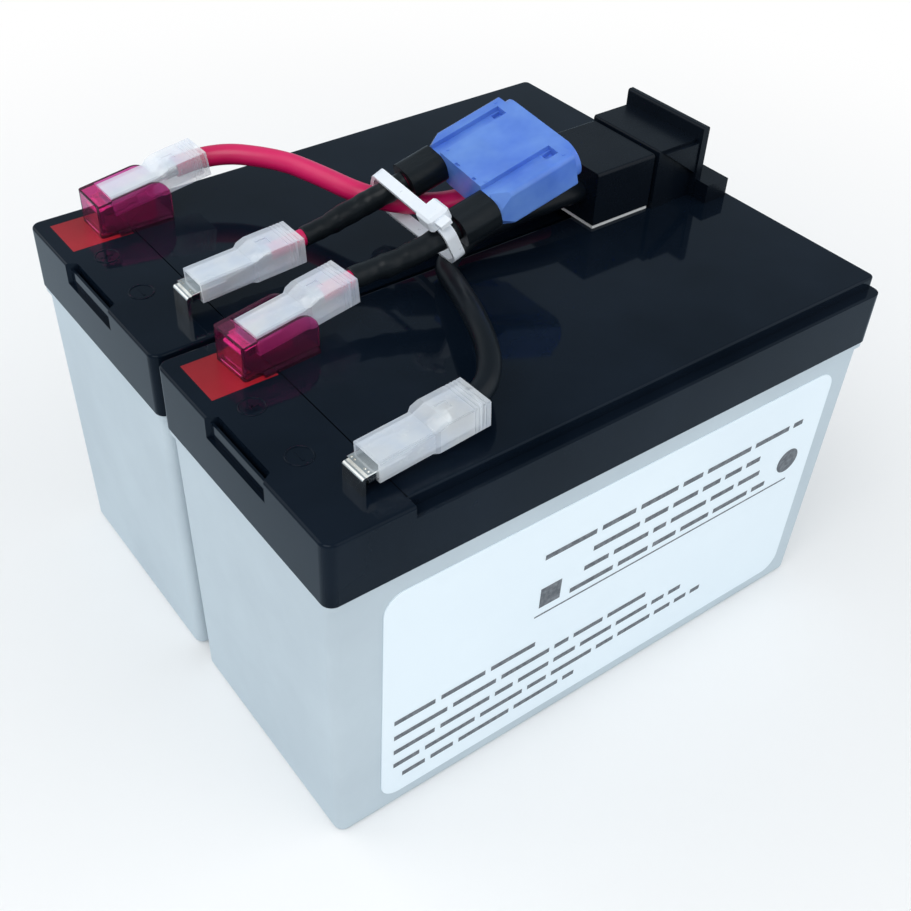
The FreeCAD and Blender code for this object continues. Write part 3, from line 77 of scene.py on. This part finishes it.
def fill(node, **sockets):
    """Set sockets of a shader node; an underscore in a name stands for a space."""
    for socket, value in sockets.items():
        node.inputs[socket.replace("_", " ")].default_value = value


def dress(node, mat):
    """Give a CAD node its material."""
    mesh = NODES[node].data
    mesh.materials.clear()
    mesh.materials.append(mat)


# ---------------------------------------------------------------- materials

class Look:
    """A Principled material whose colour, roughness and bump come from noise."""

    def __init__(self, name, **sockets):
        self.mat = bpy.data.materials.new(name)
        self.mat.use_nodes = True
        self.tree = self.mat.node_tree
        self.shader = self.tree.nodes["Principled BSDF"]
        self.coords = self.tree.nodes.new("ShaderNodeTexCoord")
        self.last_bump = None
        fill(self.shader, **sockets)

    def node(self, kind, **sockets):
        made = self.tree.nodes.new(kind)
        fill(made, **sockets)
        return made

    def link(self, out, into):
        self.tree.links.new(out, into)

    def noise(self, scale, detail, stretch=(1, 1, 1)):
        """Noise over the object coordinates, which are in metres, stretched along the axes."""
        mapping = self.node("ShaderNodeMapping", Scale=stretch)
        self.link(self.coords.outputs["Object"], mapping.inputs["Vector"])
        made = self.node("ShaderNodeTexNoise", Scale=scale, Detail=detail, Roughness=0.55)
        self.link(mapping.outputs["Vector"], made.inputs["Vector"])
        return made.outputs["Fac"]

    def drive(self, socket, factor, low, high):
        """Let a factor from 0 to 1 carry a socket of the shader from low to high."""
        made = self.node("ShaderNodeMapRange", To_Min=low, To_Max=high)
        self.link(factor, made.inputs["Value"])
        self.link(made.outputs["Result"], self.shader.inputs[socket])

    def colour(self, dark, light, scale, detail=4, levels=(0.3, 0.7)):
        """Base colour that drifts from dark to light between two levels of the noise."""
        made = self.tree.nodes.new("ShaderNodeValToRGB")
        for element, level, shade in zip(made.color_ramp.elements, levels, (dark, light)):
            element.position = level
            element.color = (*shade, 1)
        self.link(self.noise(scale, detail), made.inputs["Fac"])
        self.link(made.outputs["Color"], self.shader.inputs["Base Color"])

    def rough(self, low, high, scale, detail=4, stretch=(1, 1, 1)):
        """Uneven gloss."""
        self.drive("Roughness", self.noise(scale, detail, stretch), low, high)

    def haze(self, square, slanted):
        """See-through where the surface is met squarely, milky where it is met at a slant."""
        slant = self.node("ShaderNodeLayerWeight", Blend=0.45)
        self.drive("Alpha", slant.outputs["Facing"], square, slanted)

    def bump(self, strength, depth, scale, detail=4, stretch=(1, 1, 1)):
        """Unevenness of the surface, laid over any that came before."""
        made = self.node("ShaderNodeBump", Strength=strength, Distance=depth)
        self.link(self.noise(scale, detail, stretch), made.inputs["Height"])
        if self.last_bump:
            self.link(self.last_bump, made.inputs["Normal"])
        self.last_bump = made.outputs["Normal"]
        self.link(self.last_bump, self.shader.inputs["Normal"])


def moulded(name, dark, light, rough, grain=900, bump=0.05, **sockets):
    """Moulded plastic: slow colour drift, fine grain and uneven gloss."""
    look = Look(name, **sockets)
    look.colour(dark, light, scale=35, levels=(0.35, 0.65))
    look.rough(*rough, scale=120, detail=5)
    look.bump(bump, 0.00005, scale=grain, detail=3)
    return look


# Black that mirrors the room faintly and in a cold tone, for the lids and the resin in them
COLD_BLACK = {
    "dark": (0.0025, 0.0055, 0.011),
    "light": (0.0045, 0.0085, 0.016),
    "Specular_IOR_Level": 0.125,
    "Specular_Tint": (0.78, 0.90, 1.0, 1),
}


def case_grey():
    look = moulded("case grey", (0.485, 0.565, 0.62), (0.525, 0.61, 0.665), (0.38, 0.52),
                   grain=1400, bump=0.10, Specular_IOR_Level=0.4)
    look.bump(0.10, 0.0004, scale=18, detail=2)
    return look.mat


def tinned_brass():
    look = Look("tinned brass", Metallic=1.0, Anisotropic=0.3)
    look.colour((0.60, 0.59, 0.56), (0.84, 0.84, 0.82), scale=240, detail=6)
    look.rough(0.12, 0.26, scale=500, stretch=(1, 8, 8))
    look.bump(0.08, 0.00005, scale=900, detail=3, stretch=(1, 10, 10))
    return look.mat


def milky_nylon():
    look = Look("milky nylon", IOR=1.45, Specular_IOR_Level=0.5)
    look.colour((0.78, 0.87, 1.0), (0.93, 0.97, 1.0), scale=160, detail=3)
    look.rough(0.16, 0.34, scale=400)
    look.haze(0.15, 0.82)
    look.bump(0.08, 0.0001, scale=500, detail=3)
    return look.mat


def clear_blue():
    look = Look("clear blue", Transmission_Weight=0.35, IOR=1.40, Coat_Weight=0.3,
                Coat_Roughness=0.15)
    look.colour((0.11, 0.26, 0.86), (0.20, 0.41, 0.97), scale=90, detail=3)
    look.rough(0.14, 0.30, scale=300)
    look.bump(0.12, 0.0001, scale=220, detail=3)
    return look.mat


def shrink_sleeve():
    look = moulded("shrink sleeve", (0.004, 0.006, 0.008), (0.008, 0.011, 0.014), (0.26, 0.42),
                   grain=700, bump=0.15, Specular_IOR_Level=0.24)
    look.bump(0.5, 0.0004, scale=160, detail=3, stretch=(1, 2, 2))
    return look.mat


def insulation(name, dark, light, gloss):
    look = moulded(name, dark, light, (0.26, 0.40), grain=1100, bump=0.06, Specular_IOR_Level=gloss)
    look.bump(0.25, 0.0003, scale=90, detail=2)
    return look.mat


def natural_nylon():
    look = Look("natural nylon", Transmission_Weight=0.15, IOR=1.5, Specular_IOR_Level=0.5)
    look.colour((0.84, 0.90, 0.98), (0.90, 0.95, 1.0), scale=200)
    look.rough(0.22, 0.38, scale=500)
    look.bump(0.1, 0.0001, scale=700)
    return look.mat


def label_film():
    look = Look("label film", Specular_IOR_Level=0.45)
    look.colour((0.79, 0.885, 0.95), (0.82, 0.915, 0.975), scale=25, detail=3)
    look.rough(0.30, 0.42, scale=80)
    look.bump(0.15, 0.0005, scale=12, detail=2)
    return look.mat


def label_ink():
    look = Look("label print", Specular_IOR_Level=0.3)
    look.colour((0.10, 0.11, 0.125), (0.20, 0.215, 0.235), scale=900, detail=2, levels=(0.35, 0.7))
    look.rough(0.4, 0.55, scale=300)
    return look.mat


lid_mat = moulded("lid black", rough=(0.04, 0.09), grain=60, bump=0.03, **COLD_BLACK).mat
gap_mat = moulded("joint shadow", (0.0008, 0.001, 0.0015), (0.0015, 0.002, 0.003), (0.7, 0.9),
                  Specular_IOR_Level=0.0).mat
case_mat = case_grey()
rubber_mat = moulded("valve rubber", (0.010, 0.010, 0.010), (0.02, 0.02, 0.02), (0.6, 0.8)).mat
lead_metal = moulded("lead metal", (0.13, 0.14, 0.15), (0.22, 0.23, 0.25), (0.4, 0.65),
                     Metallic=1.0).mat
tin_mat = tinned_brass()
red_seal_mat = moulded("red resin", (0.24, 0.006, 0.012), (0.34, 0.012, 0.020), (0.22, 0.42),
                       grain=500, bump=0.25, Specular_IOR_Level=0.3).mat
black_seal_mat = moulded("black resin", rough=(0.06, 0.14), grain=300, **COLD_BLACK).mat
guard_mat = moulded("clear pink", (0.78, 0.12, 0.40), (0.87, 0.19, 0.50), (0.02, 0.07),
                    grain=300, Transmission_Weight=0.97, IOR=1.42).mat
boot_mat = milky_nylon()
fuse_mat = clear_blue()
sleeve_mat = shrink_sleeve()
red_mat = insulation("red insulation", (0.54, 0.004, 0.080), (0.68, 0.008, 0.120), 0.5)
black_mat = insulation("black insulation", (0.003, 0.005, 0.008), (0.006, 0.009, 0.013), 0.17)
plug_mat = moulded("connector black", (0.002, 0.004, 0.008), (0.004, 0.007, 0.012), (0.20, 0.34),
                   grain=600, bump=0.08, Specular_IOR_Level=0.13).mat
contact_mat = moulded("silver contact", (0.62, 0.61, 0.58), (0.78, 0.77, 0.74), (0.2, 0.35),
                      Metallic=1.0).mat
foam_mat = moulded("white foam", (0.72, 0.73, 0.73), (0.82, 0.83, 0.83), (0.8, 0.95),
                   grain=1500, bump=0.6).mat
tape_mat = moulded("foam tape", (0.24, 0.24, 0.25), (0.32, 0.32, 0.33), (0.8, 0.95),
                   grain=1500, bump=0.6).mat
tie_mat = natural_nylon()
label_mat = label_film()
ink_mat = label_ink()

for end in ENDS:
    dress(f"{end}_case", case_mat)
    dress(f"{end}_lid", lid_mat)
    dress(f"{end}_vent_cover", lid_mat)
    dress(f"{end}_valve_caps", rubber_mat)
    dress(f"{end}_plate_stacks", lead_metal)
    dress(f"{end}_cell_straps", lead_metal)
    dress(f"{end}_terminal_guard", guard_mat)
    dress(f"{end}_positive_seal", red_seal_mat)
    dress(f"{end}_negative_seal", black_seal_mat)
    dress(f"{end}_fuse_clip", tin_mat)
    dress(f"{end}_fuse_hood", sleeve_mat)
for terminal in TERMINALS:
    dress(f"{terminal}_tab", tin_mat)
    dress(f"{terminal}_receptacle", tin_mat)
    dress(f"{terminal}_boot", boot_mat)
dress("fuse_body", fuse_mat)
dress("fuse_element", tin_mat)
dress("connector_cover", plug_mat)
dress("connector_housing", plug_mat)
dress("connector_contacts", contact_mat)
dress("connector_pad", foam_mat)
dress("cable_tie", tie_mat)
dress("side_label", label_mat)
dress("foam_tape", tape_mat)


# ---------------------------------------------------------------- leads

def tilted(origin, turns):
    """A frame turned by yaw, then rise, then roll, in degrees."""
    yaw, rise, roll = (math.radians(turn) for turn in turns)
    turn = (Matrix.Rotation(yaw, 4, "Z") @ Matrix.Rotation(-rise, 4, "Y")
            @ Matrix.Rotation(roll, 4, "X"))
    return Matrix.Translation(Vector(origin)) @ turn


TAB_FRAMES = {
    "front_positive": tilted(mm(-62.4, -11.55, 99.4), (4.5, 6, 0)),
    "front_negative": tilted(mm(-62.4, -54.95, 97.7), (2, 3.5, 0)),
    "back_positive": tilted(mm(-62.4, 54.95, 99.4), (0.5, 8, 0)),
    "back_negative": tilted(mm(-62.4, 11.55, 99.4), (0, 4, 0)),
}
FUSE_FRAME = tilted(mm(12.3, -2.9, 115.1), (-4.3, 17, 3.7))
# Millimetres in those frames, as part.py has them
WIRE_LEVEL = 1.1      # lead above the flat leg of its tab
BARREL_END = 21.5     # end of the crimp barrel, where a lead begins
BOOT_END = 28.4       # wire end of a boot
FUSE_SPREAD = 10.6    # blade from the middle of the fuse
HOOD_END = -20.05     # wire end of the flat sleeve on a fuse blade
# Metres
LEAD_DIAMETER = 0.005
FUSE_LEAD_DIAMETER = 0.004


def on_tab(terminal, run):
    """A point on a lead's axis in the frame of a terminal's flat leg."""
    return TAB_FRAMES[terminal] @ Vector(mm(run, 0, WIRE_LEVEL))


def on_fuse(run, across):
    """A point level with the fuse blades, in the fuse's frame."""
    return FUSE_FRAME @ Vector(mm(run, across, 0))


def lead(name, points, diameter, mat, node):
    """A lead along a smooth line that takes the route's points as its control points."""
    curve = bpy.data.curves.new(name, "CURVE")
    curve.dimensions = "3D"
    curve.bevel_depth = diameter / 2
    curve.bevel_resolution = 6
    curve.use_fill_caps = True
    curve.resolution_u = 16
    spline = curve.splines.new("NURBS")
    spline.points.add(len(points) - 1)
    for control, point in zip(spline.points, points):
        control.co = (*point, 1)
    spline.order_u = 3
    spline.use_endpoint_u = True
    curve.materials.append(mat)
    piece = new_piece(name, curve)
    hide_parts(node)
    return piece


def centre_line(piece):
    """Points along a lead's smooth line, in order."""
    plain = piece.data.copy()
    plain.bevel_depth = 0
    holder = bpy.data.objects.new("centre line", plain)
    mesh = bpy.data.meshes.new_from_object(holder)
    points = [vertex.co.copy() for vertex in mesh.vertices]
    bpy.data.objects.remove(holder)
    bpy.data.meshes.remove(mesh)
    bpy.data.curves.remove(plain)
    return points


def run_lengths(points):
    """The distance along a line at each of its points."""
    total = 0.0
    lengths = [0.0]
    for before, after in zip(points, points[1:]):
        total += (after - before).length
        lengths.append(total)
    return lengths


def point_at(points, lengths, target):
    """The point that lies a given distance along a line."""
    for i in range(1, len(points)):
        if lengths[i] >= target:
            share = (target - lengths[i - 1]) / max(lengths[i] - lengths[i - 1], 1e-9)
            return points[i - 1].lerp(points[i], share)
    return points[-1].copy()


def tube(name, points, start, end, radius_at, mat, sides=28, steps=90):
    """A closed tube along part of a line; radius_at takes the share along it and the angle."""
    lengths = run_lengths(points)
    nearby = 0.0004   # the line's direction is taken over this much each way
    verts = []
    side = Vector((0, 1, 0))
    for i in range(steps + 1):
        share = i / steps
        here = start + (end - start) * share
        centre = point_at(points, lengths, here)
        ahead = point_at(points, lengths, min(here + nearby, lengths[-1]))
        behind = point_at(points, lengths, max(here - nearby, 0))
        along = (ahead - behind).normalized()
        side = (side - along * side.dot(along)).normalized()
        up = along.cross(side)
        for j in range(sides):
            angle = math.tau * j / sides
            reach = radius_at(share, angle)
            verts.append(centre + (side * math.cos(angle) + up * math.sin(angle)) * reach)
    faces = []
    for i in range(steps):
        for j in range(sides):
            k = (j + 1) % sides
            faces.append((i * sides + j, i * sides + k, (i + 1) * sides + k, (i + 1) * sides + j))
    faces.append(tuple(reversed(range(sides))))
    faces.append(tuple(steps * sides + j for j in range(sides)))
    mesh = mesh_from(name, verts, faces)
    mesh.materials.append(mat)
    return mesh


RED_POINTS = [
    on_tab("back_positive", BARREL_END),
    on_tab("back_positive", BOOT_END + 3),
    mm(-19.8, 42.2, 105.2),
    mm(-16.0, 29.8, 105.2),
    mm(-13.2, 17.3, 105.2),
    mm(-6.5, 10.8, 103.7),
    mm(1.1, 8.1, 102.5),
    mm(7.4, 7.1, 101.9),
    mm(19.4, 6.2, 101.6),
    mm(29.4, 5.2, 101.6),
    mm(39.8, 5.2, 101.6),
]
BLACK_POINTS = [
    on_tab("front_negative", BARREL_END),
    on_tab("front_negative", BOOT_END + 2),
    mm(-24.4, -46.6, 102.3),
    mm(-18.0, -32.5, 102.2),
    mm(-11.4, -17.3, 99.0),
    mm(-7.4, -7.6, 96.9),
    mm(3.8, -3.2, 99.4),
    mm(17.6, -4.4, 100.9),
    mm(29.4, -5.2, 101.6),
    mm(39.8, -5.2, 101.6),
]
BACK_POINTS = [
    on_tab("back_negative", BARREL_END),
    on_tab("back_negative", BOOT_END + 4),
    mm(-16.9, 11.7, 105.7),
    on_fuse(HOOD_END - 4, FUSE_SPREAD),
    on_fuse(HOOD_END + 1, FUSE_SPREAD),
]
FRONT_POINTS = [
    on_tab("front_positive", BARREL_END),
    on_tab("front_positive", BOOT_END + 3),
    mm(-21.8, -11.0, 104.7),
    on_fuse(HOOD_END - 4, -FUSE_SPREAD),
    on_fuse(HOOD_END + 1, -FUSE_SPREAD),
]


SLEEVE_RADIUS = 0.00262
SLEEVE_SHORT = 0.0012   # a shrink sleeve ends this much before its lead
LUMP = 0.000028         # height of one wave of its surface
WAVES = 7
THIN_SHARE = 0.28       # the share of it, next to the boot, that is thin
SLOPE_SHARE = 0.12      # the share over which it widens


def shrunk(seed, thin):
    """Radius of a shrink sleeve: thin at the boot, then full, and slightly lumpy all over."""
    dice = random.Random(seed)
    waves = [(dice.uniform(14, 60), dice.uniform(0, 6.28), dice.randint(0, 2))
             for _ in range(WAVES)]

    def radius(share, angle):
        blend = min(max((share - THIN_SHARE) / SLOPE_SHARE + 0.5, 0), 1)
        blend = blend * blend * (3 - 2 * blend)
        base = thin + (SLEEVE_RADIUS - thin) * blend
        lump = sum(math.sin(share * rate + phase + angle * turns) for rate, phase, turns in waves)
        return base + LUMP * lump

    return radius


def long_lead(colour, points, mat):
    """The red or the black lead, from its boot to the connector."""
    piece = lead(f"{colour}_lead_cord", points, LEAD_DIAMETER, mat, f"{colour}_lead")
    length = run_lengths(centre_line(piece))[-1]


def fuse_lead(end, points, bare, thin, seed):
    """A lead to the fuse: bare for a length, and then in a shrink sleeve that starts thin."""
    piece = lead(f"{end}_fuse_lead_cord", points, FUSE_LEAD_DIAMETER, red_mat, f"{end}_fuse_lead")
    line = centre_line(piece)
    length = run_lengths(line)[-1]
    mesh = tube(f"{end}_sleeve", line, bare, length - SLEEVE_SHORT, shrunk(seed, thin), sleeve_mat)
    sleeve = new_piece(f"{end}_sleeve", mesh)
    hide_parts(f"{end}_lead_sleeve")


long_lead("red", RED_POINTS, red_mat)
long_lead("black", BLACK_POINTS, black_mat)
fuse_lead("back", BACK_POINTS, bare=0.0091, thin=0.0023, seed=3)
fuse_lead("front", FRONT_POINTS, bare=0.0083, thin=0.00245, seed=8)


# ---------------------------------------------------------------- label print

# What is printed, in millimetres along the battery and up
BAR_HEIGHT = 1.5
BAR_WIDTHS = (4.0, 15.0)
BAR_GAP = 1.6
SHORTEST_BAR = 2
PRINT_LINES = (   # left end, right end and height of each line of bars
    (-59.5, -17, 31.0),
    (-59.5, 15, 25.6),
    (-59.5, 28, 20.4),
    (-59.5, 36, 15.4),
    (-57.0, -6, 10.6),
    (-21, 60, 59.5),
    (-6.5, 48, 54.0),
    (-8.5, 49.5, 48.8),
    (-12, 53, 43.6),
)
RULE = (-22, 60, 40.6, 41.1)
SQUARE = (-21, -15, 43.4, 49.6)
DISC_CENTRE = (58.5, 47.5)
DISC_RADIUS = 3.6
DISC_SIDES = 32
# Metres
FILM_THICKNESS = 0.00025
INK_LIFT = 0.00003


def add_quad(verts, faces, left, right, low, high):
    first = len(verts)
    verts.extend([(left, 0, low), (right, 0, low), (right, 0, high), (left, 0, high)])
    faces.append(tuple(range(first, first + 4)))


def add_bars(verts, faces, left, right, middle, dice):
    """A row of plain bars that stands for a line of print."""
    here = left
    while here < right - SHORTEST_BAR:
        width = min(dice.uniform(*BAR_WIDTHS), right - here)
        low = middle - BAR_HEIGHT / 2
        add_quad(verts, faces, here, here + width, low, low + BAR_HEIGHT)
        here += width + BAR_GAP


def add_disc(verts, faces):
    first = len(verts)
    for i in range(DISC_SIDES):
        angle = math.tau * i / DISC_SIDES
        x = DISC_CENTRE[0] + DISC_RADIUS * math.cos(angle)
        z = DISC_CENTRE[1] + DISC_RADIUS * math.sin(angle)
        verts.append((x, 0, z))
    faces.append(tuple(range(first, first + DISC_SIDES)))


def label_print():
    """Plain bars, a rule, a square and a disc, lying just off the label."""
    dice = random.Random(5)
    verts = []
    faces = []
    for left, right, middle in PRINT_LINES:
        add_bars(verts, faces, left, right, middle, dice)
    add_quad(verts, faces, *RULE)
    add_quad(verts, faces, *SQUARE)
    add_disc(verts, faces)
    low, high = corners("side_label")
    slope = (high.y - low.y - FILM_THICKNESS) / (high.z - low.z)
    placed = []
    for x, _, z in verts:
        up = z / 1000
        wall = low.y + (high.z - up) * slope - INK_LIFT
        placed.append((x / 1000, wall, up))
    mesh = mesh_from("label_print", placed, faces, smooth=False)
    mesh.materials.append(ink_mat)
    piece = new_piece("label_print", mesh)


label_print()


# ---------------------------------------------------------------- marks beside the terminals

MARK_INSET = 0.0093   # middle of a mark from the end of the lid
MARK_OFFSET = 0.0089  # and from the middle of the battery
RING_RADIUS = 0.0028
BEAD_RADIUS = 0.00021
BEAD_FLATNESS = 0.8
RING_STEPS = 40
BEAD_STEPS = 8
ARM_LENGTH = 0.003
ARM_WIDTH = 0.00044
ARM_HEIGHT = 0.00026
SOFT_AREA = 1e-6      # smaller faces are shaded smooth; an arm's top and underside are larger


def add_ring(build, centre):
    rings = []
    for i in range(RING_STEPS):
        turn = math.tau * i / RING_STEPS
        ring = []
        for j in range(BEAD_STEPS):
            angle = math.tau * j / BEAD_STEPS
            reach = RING_RADIUS + BEAD_RADIUS * math.cos(angle)
            lift = BEAD_RADIUS * math.sin(angle) * BEAD_FLATNESS
            spot = Vector((reach * math.cos(turn), reach * math.sin(turn), lift))
            ring.append(build.verts.new(centre + spot))
        rings.append(ring)
    for i in range(RING_STEPS):
        for j in range(BEAD_STEPS):
            k = (j + 1) % BEAD_STEPS
            build.faces.new((rings[i][j], rings[i - 1][j], rings[i - 1][k], rings[i][k]))


def add_arm(build, centre, size):
    for vert in bmesh.ops.create_cube(build, size=1.0)["verts"]:
        vert.co = centre + Vector(size) * vert.co


def pole_mark(name, centre, plus):
    """A raised ring with a plus or a minus in it, moulded in the lid."""
    mesh = bpy.data.meshes.new(name)
    build = bmesh.new()
    add_ring(build, centre)
    if plus:
        add_arm(build, centre, (ARM_LENGTH, ARM_WIDTH, ARM_HEIGHT))
    add_arm(build, centre, (ARM_WIDTH, ARM_LENGTH, ARM_HEIGHT))
    bmesh.ops.recalc_face_normals(build, faces=build.faces)
    build.to_mesh(mesh)
    build.free()
    for polygon in mesh.polygons:
        polygon.use_smooth = polygon.area < SOFT_AREA
    mesh.materials.append(lid_mat)
    piece = new_piece(name, mesh)


def mark_poles(end):
    low, high = corners(f"{end}_lid")
    middle = (low.y + high.y) / 2
    for name, offset in (("plus", MARK_OFFSET), ("minus", -MARK_OFFSET)):
        centre = Vector((low.x + MARK_INSET, middle + offset, high.z))
        pole_mark(f"{end}_{name}_mark", centre, name == "plus")


for end in ENDS:
    mark_poles(end)


# ---------------------------------------------------------------- joints of the vent covers

JOINT_HALF = 0.00012
JOINT_LIFT = 0.00002


def cover_joint(end):
    """The thin dark line across a lid, where its vent cover begins."""
    low, high = corners(f"{end}_vent_cover")
    left = low.x - JOINT_HALF
    right = low.x + JOINT_HALF
    outline = [(left, low.y), (right, low.y), (right, high.y), (left, high.y)]
    verts = [(x, y, high.z + JOINT_LIFT) for x, y in outline]
    mesh = mesh_from(f"{end}_cover_joint", verts, [(0, 1, 2, 3)], smooth=False)
    mesh.materials.append(gap_mat)
    piece = new_piece(f"{end}_cover_joint", mesh)


for end in ENDS:
    cover_joint(end)


# ---------------------------------------------------------------- stage, light and camera

def seen_directly(nodes, links):
    """A socket that is 1 for what the camera sees, also through clear plastic."""
    path = nodes.new("ShaderNodeLightPath")
    either = nodes.new("ShaderNodeMath")
    either.operation = "MAXIMUM"
    links.new(path.outputs["Is Camera Ray"], either.inputs[0])
    links.new(path.outputs["Is Transmission Ray"], either.inputs[1])
    return either.outputs["Value"]


PAPER = (0.88, 0.88, 0.88, 1)
MIRRORED_PAPER = (0.53, 0.63, 0.71, 1)
WHITE_FROM = 0.16     # metres from the middle where the paper begins to turn plain white
WHITE_AT = 0.42
FLOOR_HALF = 3


def floor_paper():
    """Pale paper that keeps the shadow near the object and is plain white further out.

    Gloss mirrors it dimmer, as it does the room.
    """
    mat = bpy.data.materials.new("floor paper")
    mat.use_nodes = True
    nodes, links = mat.node_tree.nodes, mat.node_tree.links
    paper = nodes["Principled BSDF"]
    fill(paper, Roughness=0.9)
    path = nodes.new("ShaderNodeLightPath")
    tone = nodes.new("ShaderNodeMix")
    tone.data_type = "RGBA"
    plain, mirrored = (socket for socket in tone.inputs if socket.type == "RGBA")
    plain.default_value = PAPER
    mirrored.default_value = MIRRORED_PAPER
    links.new(path.outputs["Is Glossy Ray"], tone.inputs["Factor"])
    toned = next(socket for socket in tone.outputs if socket.type == "RGBA")
    links.new(toned, paper.inputs["Base Color"])
    coords = nodes.new("ShaderNodeTexCoord")
    distance = nodes.new("ShaderNodeVectorMath")
    distance.operation = "LENGTH"
    links.new(coords.outputs["Object"], distance.inputs[0])
    fade = nodes.new("ShaderNodeMapRange")
    fade.interpolation_type = "SMOOTHSTEP"
    fill(fade, From_Min=WHITE_FROM, From_Max=WHITE_AT)
    links.new(distance.outputs["Value"], fade.inputs["Value"])
    share = nodes.new("ShaderNodeMath")
    share.operation = "MULTIPLY"
    links.new(fade.outputs["Result"], share.inputs[0])
    links.new(seen_directly(nodes, links), share.inputs[1])
    white = nodes.new("ShaderNodeEmission")
    mix = nodes.new("ShaderNodeMixShader")
    links.new(share.outputs["Value"], mix.inputs["Fac"])
    links.new(paper.outputs["BSDF"], mix.inputs[1])
    links.new(white.outputs["Emission"], mix.inputs[2])
    links.new(mix.outputs["Shader"], nodes["Material Output"].inputs["Surface"])
    return mat


def build_stage():
    outline = [(-1, -1), (1, -1), (1, 1), (-1, 1)]
    verts = [(x * FLOOR_HALF, y * FLOOR_HALF, 0) for x, y in outline]
    floor_mesh = mesh_from("floor", verts, [(0, 1, 2, 3)])
    floor = bpy.data.objects.new("floor", floor_mesh)
    bpy.context.scene.collection.objects.link(floor)
    floor_mesh.materials.append(floor_paper())


def background(nodes, colour, strength):
    """An even sky of one colour."""
    made = nodes.new("ShaderNodeBackground")
    fill(made, Color=colour, Strength=strength)
    return made.outputs["Background"]


def build_world():
    """White to the camera, soft and slightly blue as a light, and dim to gloss."""
    world = bpy.data.worlds.new("studio")
    bpy.context.scene.world = world
    world.use_nodes = True
    nodes, links = world.node_tree.nodes, world.node_tree.links
    nodes.clear()
    out = nodes.new("ShaderNodeOutputWorld")
    seen = background(nodes, (1, 1, 1, 1), 1.0)
    lit = background(nodes, (0.93, 0.97, 1, 1), 0.65)
    dim = background(nodes, (0.74, 0.89, 1, 1), 0.45)
    path = nodes.new("ShaderNodeLightPath")
    unseen = nodes.new("ShaderNodeMixShader")
    links.new(path.outputs["Is Glossy Ray"], unseen.inputs["Fac"])
    links.new(lit, unseen.inputs[1])
    links.new(dim, unseen.inputs[2])
    mix = nodes.new("ShaderNodeMixShader")
    links.new(seen_directly(nodes, links), mix.inputs["Fac"])
    links.new(unseen.outputs["Shader"], mix.inputs[1])
    links.new(seen, mix.inputs[2])
    links.new(mix.outputs["Shader"], out.inputs["Surface"])


LAMP_TARGET = Vector((0, 0, 0.05))


def area_lamp(name, place, size, power):
    """A square lamp that is aimed at the middle of the object."""
    light = bpy.data.lights.new(name, "AREA")
    light.size = size
    light.energy = power
    lamp = bpy.data.objects.new(name, light)
    lamp.location = place
    aim = LAMP_TARGET - Vector(place)
    lamp.rotation_euler = aim.to_track_quat("-Z", "Y").to_euler()
    bpy.context.scene.collection.objects.link(lamp)


def build_camera():
    """The photo's viewpoint, found from the corners of the two batteries."""
    data = bpy.data.cameras.new("camera")
    data.lens = 47.71
    data.sensor_width = 36
    data.shift_x = 0.05
    data.shift_y = 0.005
    data.clip_start = 0.01
    camera = bpy.data.objects.new("camera", data)
    turn = Euler([math.radians(degrees) for degrees in (48.632, -0.999, -35.394)])
    camera.matrix_world = Matrix.LocRotScale(Vector(mm(-150.05, -191.40, 243.24)), turn, None)
    bpy.context.scene.collection.objects.link(camera)
    bpy.context.scene.camera = camera


build_stage()
build_world()
area_lamp("key", (-0.9, -0.5, 1.3), size=1.2, power=10.5)
area_lamp("side", (0.9, -0.9, 0.8), size=1.6, power=6.5)
area_lamp("back", (-0.8, 1.1, 1.0), size=1.4, power=6.3)
build_camera()
bpy.context.scene.view_settings.view_transform = "Standard"
